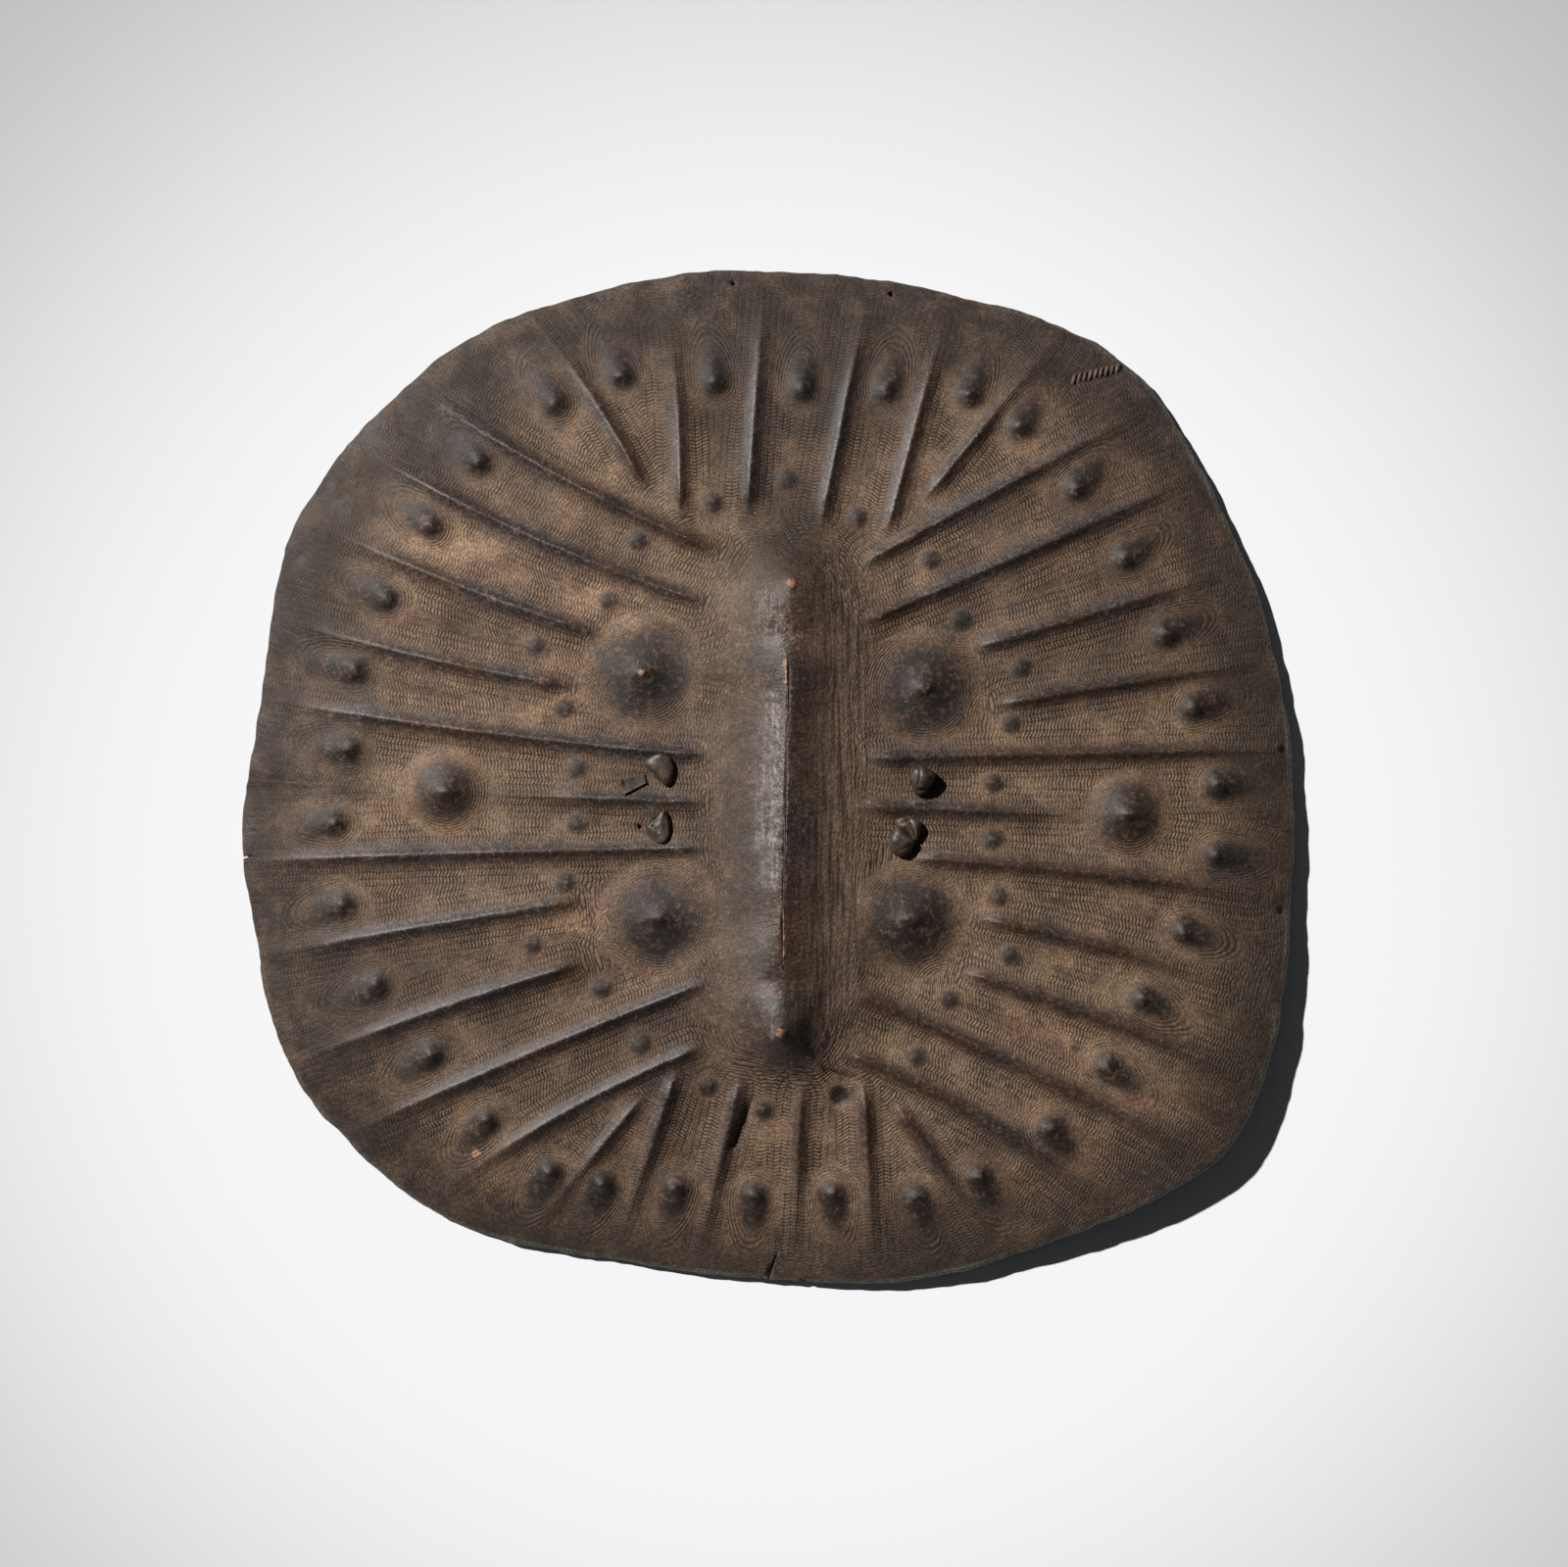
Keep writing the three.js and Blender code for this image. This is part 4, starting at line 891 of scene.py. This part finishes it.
def makeHideMaterial():
    look = {}
    for name, value in hideLook.items():
        look[name] = srgb(*value) if isinstance(value, tuple) else value
    f = Finish("tooledHide")
    way, tooled, finish, side, shade, ground = (
        f.attribute(name) for name in ("toolWay", "tooled", "finish", "side", "shade", "ground"))
    across, along, ringed = way[0], way[1], way[2]
    polish, worn, onEdge = finish[0], finish[1], finish[2]
    broad, reddish, patchy, middling, wobble, small, fine = (f.noise(*look[name]) for name in (
        "broad", "reddish", "patchy", "middling", "wobble", "small", "fine"))
    # dashes in rows along the ridges, each row half a step on from the last
    sway = f.math("SINE", f.times(across, math.pi / look["rowPitch"]))
    shift = f.math("ADD", f.times(sway, 1.5), f.times(wobble, 4.0))
    shift = f.math("ADD", shift, f.times(small, 1.8))
    dashes = f.wave(along, look["dashPitch"], shift)
    rows = f.wave(across, look["rowPitch"], f.times(wobble, 3.0))
    hatch = f.times(f.spread(dashes, 0.05, 0.6), f.spread(rows, 0.0, 0.4, 0.35, 1.0))
    ringShift = f.math("ADD", f.times(wobble, 6.0), f.times(small, 3.0))
    rings = f.spread(f.wave(ringed, look["ringPitch"], ringShift), 0.2, 0.8)
    hatchShare = f.times(tooled[0], f.spread(patchy, 0.32, 0.6, 0.25, 1.0))
    tool = f.times(f.rest(hatch), hatchShare)
    ringShare = f.times(tooled[1], f.spread(patchy, 0.35, 0.65, 0.75, 0.1))
    ringTool = f.times(f.rest(rings), ringShare)
    lines = f.math("MAXIMUM", tool, ringTool)
    byRim = f.times(f.spread(side[2], 6.0, 12.0), f.spread(side[2], 26.0, 44.0, 0.55, 0.0))
    rimLines = f.wave(side[2], 1.5, f.math("ADD", f.times(wobble, 8.0), shift))
    byRim = f.times(byRim, f.spread(patchy, 0.4, 0.6))
    lines = f.math("MAXIMUM", lines, f.times(rimLines, byRim))

    panel = f.mix(f.spread(broad, 0.36, 0.6), look["panelDeep"], look["panelLight"])
    panel = f.mix(f.spread(middling, 0.48, 0.75, 0.0, 0.75), panel, look["panelGrey"])
    panel = f.mix(f.spread(reddish, 0.52, 0.7, 0.0, 0.6), panel, look["panelRed"])
    mound = f.mix(f.spread(middling, 0.40, 0.60), look["moundBrown"], look["moundDark"])
    mound = f.mix(f.spread(small, 0.52, 0.66, 0.0, 0.5), mound, look["panelLight"])
    panel = f.mix(f.times(ground[0], f.spread(broad, 0.4, 0.6, 0.8, 1.0)), panel, mound)
    besideRidge = f.spread(across, 1.0, 15.0, 0.45, 0.0)
    untooled = f.times(f.rest(tooled[0]), 0.2)
    panel = f.mix(f.math("MAXIMUM", besideRidge, untooled), panel, look["panelDeep"])
    panel = f.mix(f.times(lines, 0.9), panel, look["toolLine"])
    # the rim's darker colour, with painted shade on the upper left
    rimShare = f.times(tooled[2], f.spread(middling, 0.3, 0.65, 0.6, 1.0))
    panel = f.mix(rimShare, panel, f.mix(shade[0], look["rimUpperPaintedShade"], look["rim"]))
    # brushed streaks on the right flank, in a lighter colour that is painted light
    streaks = f.noise(0.0021, 3, 0.6, stretch=(1.0, 0.045, 1.0))
    brushedAndPaintedLight = f.mix(f.spread(streaks, 0.35, 0.65), look["polishedWarm"], look["brushedAndPaintedLight"])
    brushAndLightShare = f.times(side[1], f.spread(middling, 0.25, 0.55, 0.55, 1.0))
    panel = f.mix(brushAndLightShare, panel, brushedAndPaintedLight)
    ragged = f.sway(middling, 0.8, polish)
    ragged = f.sway(small, 0.7, ragged)
    polishShare = f.spread(ragged, 0.10, 0.86)
    polished = f.mix(f.spread(broad, 0.42, 0.6), look["polished"], look["polishedWarm"])
    polished = f.mix(f.spread(small, 0.52, 0.72, 0.0, 0.55), polished, look["panelRed"])
    polished = f.mix(f.spread(fine, 0.56, 0.7, 0.0, 0.35), polished, look["panelLight"])
    boss = f.mix(f.spread(small, 0.50, 0.66), look["bossStain"], look["bossFleck"])
    polished = f.mix(ground[1], polished, boss)
    colour = f.mix(polishShare, panel, polished)
    # painted highlights on the mound, mixed in as a pale colour
    paintedHighlightShare = f.times(ground[2], f.spread(streaks, 0.38, 0.62, 0.25, 1.0))
    paintedHighlightShare = f.times(paintedHighlightShare, f.spread(small, 0.38, 0.6, 0.35, 0.9))
    colour = f.mix(paintedHighlightShare, colour, look["paintedHighlight"])
    flecks = f.spread(f.noise(0.0045, 3, 0.6), 0.70, 0.76)
    flecks = f.times(flecks, f.spread(f.noise(0.06, 2), 0.5, 0.62, 0.0, 0.8))
    wornShare = f.sway(f.noise(0.003, 3), 1.6, worn)
    wornShare = f.math("MAXIMUM", f.spread(wornShare, 0.35, 0.85), flecks)
    colour = f.mix(wornShare, colour, look["worn"])
    colour = f.mix(onEdge, colour, look["cutEdge"])
    backColour = f.mix(f.spread(broad, 0.35, 0.65), look["backDeep"], look["back"])
    backColour = f.mix(f.spread(middling, 0.5, 0.8, 0.0, 0.5), backColour, look["panelGrey"])
    colour = f.mix(side[0], colour, backColour)
    grain = f.spread(fine, 0.34, 0.66, 0.55, 1.42)
    # the paler and darker stretches, partly uneven dye and partly painted light and painted shade,
    # brighten or darken the colour here
    grain = f.times(grain, f.math("ADD", shade[1], 1.0))
    grain = f.times(grain, f.spread(small, 0.3, 0.7, 0.86, 1.12))
    greys = f.node("ShaderNodeCombineXYZ", {0: grain, 1: grain, 2: grain}).outputs[0]
    colour = f.mix(1.0, colour, greys, "MULTIPLY")
    f.put(f.shader.inputs["Base Color"], colour)

    gloss = f.timesPlus(polishShare, -0.14, 0.66)
    gloss = f.timesPlus(shade[2], -0.16, gloss)
    gloss = f.timesPlus(ground[1], 0.12, gloss)
    gloss = f.sway(small, 0.34, gloss)
    f.put(f.shader.inputs["Roughness"], f.math("MAXIMUM", gloss, f.times(side[0], 0.75)))
    f.put(f.shader.inputs["Specular Tint"], f.mix(polishShare, srgb(255, 244, 232), srgb(250, 248, 246)))

    front = f.rest(side[0])
    relief = f.times(f.rest(lines), front)
    normal = f.bump(relief, look["toolDepth"], 0.85)
    normal = f.bump(middling, 0.0010, 0.6, normal)
    normal = f.bump(f.times(streaks, side[1]), 0.0003, 0.7, normal)
    normal = f.bump(small, 0.00045, 0.7, normal)
    normal = f.bump(fine, 0.0004, 0.8, normal)
    f.put(f.shader.inputs["Normal"], normal)
    return f.material


def makeLeatherMaterial(name, look, gloss):
    f = Finish(name)
    broad, grain, fine = f.noise(0.006, 4), f.noise(0.0022, 4, 0.65), f.noise(0.0007, 3, 0.7)
    colour = f.mix(f.spread(broad, 0.35, 0.65), srgb(*look["deep"]), srgb(*look["light"]))
    colour = f.mix(f.spread(grain, 0.58, 0.75, 0.0, 0.6), colour, srgb(*look["rubbed"]))
    f.put(f.shader.inputs["Base Color"], colour)
    f.put(f.shader.inputs["Roughness"], f.timesPlus(grain, 0.25, gloss))
    normal = f.bump(grain, 0.0005, 0.6)
    normal = f.bump(fine, 0.0002, 0.6, normal)
    f.put(f.shader.inputs["Normal"], normal)
    return f.material


print("shaping the hide:", grid["columnsInPanel"] * len(ridges), "columns")
skin = finishedMesh(closedGrid(skinPoints(), mm), "tooledHide")
cutters = makeCutters()
cutting = skin.modifiers.new("cuts", "BOOLEAN")
cutting.object = cutters
cutting.operation = "DIFFERENCE"
cutting.solver = "MANIFOLD"
applyModifiers(skin)
bpy.data.objects.remove(cutters)
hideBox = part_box("shield_hide")
cos = np.empty(len(skin.data.vertices) * 3)
skin.data.vertices.foreach_get("co", cos)
cos = cos.reshape(-1, 3)
low, high = cos.min(0), cos.max(0)
middleOf = lambda a, b: (np.array(a) + np.array(b)) / 2
move = middleOf(*hideBox) - middleOf(low, high)
move[2] = hideBox[0][2] - low[2]
shift = move / mm  # from the plan's own origin to the frame's
skin.data.vertices.foreach_set("co", (cos + move).ravel())
skin.data.update()
markFinishes(skin.data, shift)
skin.data.materials.clear()
skin.data.materials.append(makeHideMaterial())
for face in skin.data.polygons:
    face.use_smooth = True
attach(skin, "root")
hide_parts("shield_hide")
print("hide done:", len(skin.data.vertices), "vertices, shift", [round(float(s), 2) for s in shift])


def settleOnFace(bm, lift):  # heights so far are above the face; put them onto it
    xy = np.array([vert.co[:2] for vert in bm.verts])
    base = faceHeight(xy[:, 0], xy[:, 1])
    for vert, z in zip(bm.verts, base):
        vert.co.z += float(z) + lift


# The grips' ends where they come up through the hide: outline seen from above, height, where the top
# of the swelling lies, and folds across it (start, end, depth, half width)
knotEnds = {
    "upperLeft": {
        "outline": [(-82.1, 23.6), (-76.4, 17.4), (-69.2, 10.2), (-65.6, 12.7), (-64.1, 18.9),
                    (-64.5, 23.9), (-67.4, 27.9), (-72.5, 29.6), (-77.6, 27.9)],
        "height": 6.2, "top": (-72.4, 20.8),
        "folds": [((-81.5, 20.5), (-76.5, 21.5), 0.35, 0.9), ((-68, 29), (-70, 24), 0.2, 0.8)],
    },
    "lowerLeft": {
        "outline": [(-70.7, -4.0), (-75.6, -9.0), (-81.2, -14.5), (-77.6, -20.7), (-71.8, -23.4),
                    (-67.8, -21.0), (-66.5, -14.5), (-67.1, -8.7), (-68.9, -4.7)],
        "height": 5.6, "top": (-73.0, -13.0),
        "folds": [((-77, -13), (-73.5, -16), 0.9, 0.6), ((-77, -13), (-74.5, -10), 0.9, 0.6),
                  ((-70, -7), (-69, -18), 0.4, 1.0)],
    },
    "upperRight": {
        "outline": [(79.9, 23.0), (85.0, 20.6), (89.0, 17.0), (87.5, 12.3), (82.8, 5.8), (77.7, 4.9),
                    (75.2, 8.7), (73.6, 15.9), (74.8, 21.0)],
        "height": 11.5, "top": (80.0, 15.5),
        "folds": [((76, 7), (83, 8.5), 1.6, 0.9), ((80, 22), (79, 12), 0.7, 1.1)],
    },
    "lowerRight": {
        "outline": [(61.0, -23.2), (62.5, -17.4), (65.0, -13.8), (69.0, -14.4), (77.0, -21.6),
                    (74.8, -27.6), (69.8, -31.0), (63.6, -29.0)],
        "height": 9.0, "top": (68.5, -21.5),
        "folds": [((64, -17), (69, -20), 0.5, 0.9), ((66, -28), (73, -25), 0.5, 1.2)],
    },
    "lowerRightFold": {
        "outline": [(66.5, -8.7), (73.4, -7.3), (79.9, -10.5), (80.6, -15.3), (77.7, -22.5),
                    (73.0, -19.0), (68.5, -15.4), (65.8, -12.4)],
        "height": 7.5, "top": (74.5, -14.0),
        "folds": [((69, -11), (73, -10), 1.4, 0.9), ((74, -9), (77, -19), 0.7, 0.9)],
    },
}


# Common to all ends: fineness of their mesh and outline, how full their swelling is, depth below the
# face, and how deep they sink into it
knotShape = {"segments": (64, 34), "outlineSteps": 14, "fullness": 0.72, "below": 1.6, "sink": 0.3}


def makeKnotEnd(bm, knot):
    around, over = knotShape["segments"]
    made = bmesh.ops.create_uvsphere(bm, u_segments=around, v_segments=over, radius=1)
    outline = closedCurve(knot["outline"], knotShape["outlineSteps"])
    middle = np.array(knot["top"])
    turn = np.arctan2(outline[:, 1] - middle[1], outline[:, 0] - middle[0])
    reach = np.hypot(*(outline - middle).T)
    order = np.argsort(turn)
    for vert in made["verts"]:
        share, up = math.hypot(vert.co.x, vert.co.y), vert.co.z
        angle = math.atan2(vert.co.y, vert.co.x)
        out = float(np.interp(angle, turn[order], reach[order], period=2 * math.pi)) * share
        x, y = middle[0] + out * math.cos(angle), middle[1] + out * math.sin(angle)
        z = knot["height"] * max(up, 0) ** knotShape["fullness"] + knotShape["below"] * min(up, 0)
        if up > 0:
            for start, end, depth, halfWidth in knot["folds"]:
                z -= depth * float(gauss(segmentDistance(x, y, start, end), halfWidth)) * up**0.5
        vert.co = Vector((x, y, z))


# The flat tail that lies beside the upper left knot: its corners seen from above
tail = {
    "corners": [(-97.2, 13.8), (-82.0, 17.6), (-80.6, 12.0), (-93.7, 5.4)],
    "thickness": 1.6,
    "hump": 2.2,  # where its end is rolled up
    "humpAt": (0.06, 0.8),  # shares of its length and width
    "humpSpread": (0.10, 0.3),
    "curl": 0.3,
    "roundedEdge": 0.35,
    "lift": 0.5,
    "look": {"light": (90, 71, 56), "deep": (56, 44, 36), "rubbed": (116, 92, 70)},
}


def makeTail():
    bm = bmesh.new()
    bmesh.ops.create_grid(bm, x_segments=24, y_segments=12, size=1)
    a, b, c, d = (np.array(corner) for corner in tail["corners"])
    (humpU, humpV), (spreadU, spreadV) = tail["humpAt"], tail["humpSpread"]
    for vert in bm.verts:
        u, v = (vert.co.x + 1) / 2, (vert.co.y + 1) / 2
        x, y = (d * (1 - u) + c * u) * (1 - v) + (a * (1 - u) + b * u) * v
        hump = tail["hump"] * math.exp(-(((u - humpU) / spreadU) ** 2) - ((v - humpV) / spreadV) ** 2)
        curl = tail["curl"] * (math.sin(u * 5.0 + 0.6) + abs(2 * v - 1) ** 3)
        vert.co = Vector((x, y, tail["thickness"] + hump + curl + tail["lift"]))
    solid = bmesh.ops.extrude_face_region(bm, geom=bm.faces[:])
    for item in solid["geom"]:
        if isinstance(item, bmesh.types.BMVert):
            item.co.z -= tail["thickness"]
    bmesh.ops.recalc_face_normals(bm, faces=bm.faces)
    rim = [edge for edge in bm.edges if edge.calc_face_angle(0) > 1.0]
    bmesh.ops.bevel(bm, geom=rim, offset=tail["roundedEdge"], segments=2, profile=0.5, affect="EDGES",
                    material=-1)
    return bm


# The grips behind: two rolled straps, drawn from slit to slit
grips = {
    "handHeight": 27,
    "sag": 5,
    "span": 48,  # half the length of the part that is held
    "strap": (11, 4.5),  # width and thickness at the slits
    "rolled": (15, 13.5),  # and where it is rolled for the hand
    "rollFrom": (0.80, 0.22),  # shares of half the length: where the rolling starts, and its run
    "bend": 7.5,
    "drop": 5.25,
    "tuck": 9,
    "twist": 5.0,  # of the roll's seam from end to end, in radians
    "seam": (0.12, 0.02),  # depth as a share of the roll, and width
    "ribs": (26, 0.018),  # number and height, as a share
    "stations": 110,
    "sides": 28,
}


def smoothPath(points, count):
    p = np.array(points, float)
    p = np.vstack((2 * p[0] - p[1], p, 2 * p[-1] - p[-2]))
    steps = np.sqrt(np.linalg.norm(np.diff(p, axis=0), axis=1))
    knotsAt = np.concatenate(([0], np.cumsum(steps)))
    places = np.linspace(knotsAt[1], knotsAt[-2], count)
    path = []
    for t in places:
        i = min(max(int(np.searchsorted(knotsAt, t, side="right")) - 1, 1), len(p) - 3)
        t0, t1, t2, t3 = knotsAt[i - 1:i + 3]
        a1 = (t1 - t) / (t1 - t0) * p[i - 1] + (t - t0) / (t1 - t0) * p[i]
        a2 = (t2 - t) / (t2 - t1) * p[i] + (t - t1) / (t2 - t1) * p[i + 1]
        a3 = (t3 - t) / (t3 - t2) * p[i + 1] + (t - t2) / (t3 - t2) * p[i + 2]
        b1 = (t2 - t) / (t2 - t0) * a1 + (t - t0) / (t2 - t0) * a2
        b2 = (t3 - t) / (t3 - t1) * a2 + (t - t1) / (t3 - t1) * a3
        path.append((t2 - t) / (t2 - t1) * b1 + (t - t1) / (t2 - t1) * b2)
    return np.array(path)


def gripPath(left, right):
    g = grips
    left, right = np.array(left, float), np.array(right, float)
    heading = (right - left) / np.hypot(*(right - left))

    def turnDown(at, inward):
        z = float(faceHeight(*(np.array([v]) for v in at))[0]) - hide["thickness"]
        bent = at + inward * g["bend"]
        return [(*at, z + hide["thickness"] + 1), (*at, z), (*at, z - g["drop"]),
                (*bent, z - g["drop"] - g["tuck"])]

    middle = (left + right) / 2
    inHand = []
    for t in np.linspace(-1, 1, 7):
        inHand.append((*(middle + heading * g["span"] * t), g["handHeight"] + g["sag"] * t * t))
    return turnDown(left, heading) + inHand + turnDown(right, -heading)[::-1], heading


def makeStrap(left, right):
    g = grips
    points, heading = gripPath(left, right)
    path = smoothPath(points, g["stations"])
    side = np.array((-heading[1], heading[0], 0))
    run = np.concatenate(([0], np.cumsum(np.linalg.norm(np.diff(path, axis=0), axis=1))))
    angles = np.arange(g["sides"]) / g["sides"] * 2 * math.pi
    c, n = np.cos(angles), np.sin(angles)
    rows = []
    for centre, tangent, share in zip(path, np.gradient(path, axis=0), run / run[-1]):
        up = np.cross(tangent / np.linalg.norm(tangent), side)
        rolled = float(ramp((g["rollFrom"][0] - abs(share * 2 - 1)) / g["rollFrom"][1]))
        wide, tall = np.array(g["strap"]) * (1 - rolled) + np.array(g["rolled"]) * rolled
        offSeam = (1 - np.cos(angles - share * g["twist"])) / g["seam"][1]
        uneven = 1 - g["seam"][0] * rolled * np.exp(-offSeam)
        wave = np.sin(share * g["ribs"][0] * 2 * math.pi + 2 * angles)
        uneven = uneven * (1 + g["ribs"][1] * rolled * wave)
        power = 2 / (2.0 + 1.6 * (1 - rolled))  # from a strap's squarish section to a round one
        out = np.sign(c) * np.abs(c) ** power * wide / 2 * uneven
        rise = np.sign(n) * np.abs(n) ** power * tall / 2 * uneven
        rows.append(centre + np.outer(out, side) + np.outer(rise, up))
    return closedGrid(np.array(rows))


def takeIn(bm, other):  # adds another bmesh's faces
    mesh = bpy.data.meshes.new("taken")
    other.to_mesh(mesh)
    other.free()
    bm.from_mesh(mesh)
    bpy.data.meshes.remove(mesh)


def placedPiece(bm, name, material):  # from the plan's millimetres to its place in the frame
    bmesh.ops.recalc_face_normals(bm, faces=bm.faces)
    bmesh.ops.scale(bm, verts=bm.verts, vec=(mm, mm, mm))
    bmesh.ops.translate(bm, verts=bm.verts, vec=Vector(move))
    return finishedMesh(bm, name, material)


def makeGrip(name, left, right, ends, withTail, material):
    bm = bmesh.new()
    for end in ends:
        makeKnotEnd(bm, knotEnds[end])
    if withTail:
        strip = makeTail()
        for face in strip.faces:
            face.material_index = 1
        takeIn(bm, strip)
    settleOnFace(bm, -knotShape["sink"])
    takeIn(bm, makeStrap(left, right))
    grip = placedPiece(bm, name, material)
    if withTail:
        grip.data.materials.append(makeLeatherMaterial("tailLeather", tail["look"], 0.5))
    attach(grip, "root")
    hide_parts("upper_grip" if withTail else "lower_grip")


gripLook = {"light": (92, 78, 66), "deep": (50, 42, 36), "rubbed": (116, 96, 76)}
gripLeather = makeLeatherMaterial("gripLeather", gripLook, 0.26)
makeGrip("upperGrip", *plan["slits"][:2], ("upperLeft", "upperRight"), True, gripLeather)
makeGrip("lowerGrip", *plan["slits"][2:], ("lowerLeft", "lowerRight", "lowerRightFold"), False,
         gripLeather)
print("grips done")

# The old repair: one thong whipped over the sewn-up slit
repair = {
    "start": (169, 249),
    "end": (198, 256),
    "loops": 9,
    "reach": 3.4,
    "rise": 2.3,
    "thread": 1.15,
    "section": (1.1, 1, 0.75),
    "halfTurns": (1.1, -0.55),  # how far each loop goes round, and from where
    "slant": 0.5,
    "sink": 0.4,
    "look": {"light": (92, 72, 56), "deep": (58, 45, 36), "rubbed": (120, 96, 72)},
}


def makeRepair():
    bm = bmesh.new()
    start, end = np.array(repair["start"], float), np.array(repair["end"], float)
    heading = math.atan2(*(end - start)[::-1])
    turn, turnFrom = repair["halfTurns"]
    for k in range(repair["loops"]):
        at = start + (end - start) * (k + 0.5) / repair["loops"]
        made = len(bm.verts)
        ring = bmesh.ops.create_circle(bm, segments=12, radius=repair["thread"], cap_ends=True)["verts"]
        bmesh.ops.rotate(bm, verts=ring, cent=(0, 0, 0), matrix=Matrix.Rotation(math.pi / 2, 3, "X"))
        bmesh.ops.scale(bm, verts=ring, vec=repair["section"])
        bmesh.ops.translate(bm, verts=ring, vec=(0, 0, repair["reach"]))
        bmesh.ops.spin(bm, geom=ring[0].link_faces[:], cent=(0, 0, 0), axis=(1, 0, 0), dvec=(0, 0, 0),
                       angle=math.pi * turn, steps=16, use_merge=False, use_duplicate=False)
        verts = list(bm.verts)[made:]
        bmesh.ops.transform(bm, verts=verts, matrix=Matrix.Rotation(math.pi * turnFrom, 4, "X"))
        bmesh.ops.scale(bm, verts=verts, vec=(1, 1, repair["rise"] / repair["reach"]))
        for vert in verts:
            vert.co.x += vert.co.y * repair["slant"]
        bmesh.ops.rotate(bm, verts=verts, cent=(0, 0, 0), matrix=Matrix.Rotation(heading, 3, "Z"))
        height = float(faceHeight(at[:1], at[1:])[0])
        bmesh.ops.translate(bm, verts=verts, vec=(at[0], at[1], height - repair["sink"]))
    stitches = placedPiece(bm, "repairStitches", makeLeatherMaterial("thong", repair["look"], 0.45))
    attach(stitches, "root")
    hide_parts("repair_stitching")


makeRepair()
print("repair done")

# The paper floor's colour carries painted light: brightest at a place just below the shield's middle,
# falling off to painted shade outwards
floorLook = {
    "size": 6.0,
    "near": (241, 241, 242),
    "far": (183, 183, 184),
    "paintedFalloff": (0.33, 0.78),  # where it starts and ends
    "centre": (0.0, -0.06),
}


def makeFloor():
    bm = bmesh.new()
    bmesh.ops.create_grid(bm, x_segments=1, y_segments=1, size=floorLook["size"] / 2)
    f = Finish("studioFloor")
    parts = f.node("ShaderNodeSeparateXYZ", {0: f.coordinates()}).outputs
    offX = f.math("SUBTRACT", parts[0], floorLook["centre"][0])
    offY = f.math("SUBTRACT", parts[1], floorLook["centre"][1])
    away = f.math("SQRT", f.math("ADD", f.times(offX, offX), f.times(offY, offY)))
    # painted light: the floor's colour darkens away from its middle
    paintedFalloff = f.spread(away, *floorLook["paintedFalloff"])
    f.put(f.shader.inputs["Base Color"], f.mix(paintedFalloff, srgb(*floorLook["near"]), srgb(*floorLook["far"])))
    f.shader.inputs["Roughness"].default_value = 0.9
    f.shader.inputs["Specular IOR Level"].default_value = 0.1
    return finishedMesh(bm, "studioFloor", f.material)


makeFloor()

# Camera: straight above, framed as the photograph is
view = {"distance": 5.0, "frameWidth": 0.928, "centre": (0.0, 11.9)}
camera = bpy.data.cameras.new("overheadCamera")
camera.sensor_width = 36
camera.sensor_fit = "HORIZONTAL"
camera.lens = camera.sensor_width * view["distance"] / view["frameWidth"]
camera.clip_end = 50
cameraObject = bpy.data.objects.new("overheadCamera", camera)
cameraX, cameraY = (float(c) for c in (np.array(view["centre"]) + shift[:2]) * mm)
cameraObject.location = (cameraX, cameraY, view["distance"])
bpy.context.scene.collection.objects.link(cameraObject)
bpy.context.scene.camera = cameraObject

# Light: one key from the upper left, 40 degrees up, and a weak even fill
light = {"key": 4.9, "elevation": 40, "heading": 144, "softness": 1.6, "fill": 0.034}
sun = bpy.data.lights.new("keyLight", "SUN")
sun.energy = light["key"]
sun.angle = math.radians(light["softness"])
sunObject = bpy.data.objects.new("keyLight", sun)
elevation, heading = math.radians(light["elevation"]), math.radians(light["heading"])
toLight = Vector((math.cos(elevation) * math.cos(heading), math.cos(elevation) * math.sin(heading),
                  math.sin(elevation)))
sunObject.rotation_euler = toLight.to_track_quat("Z", "Y").to_euler()
bpy.context.scene.collection.objects.link(sunObject)
world = bpy.data.worlds.new("studioFill")
world.use_nodes = True
world.node_tree.nodes["Background"].inputs[0].default_value = (0.9, 0.95, 1.0, 1)
world.node_tree.nodes["Background"].inputs[1].default_value = light["fill"]
bpy.context.scene.world = world
bpy.context.scene.view_settings.view_transform = "Standard"
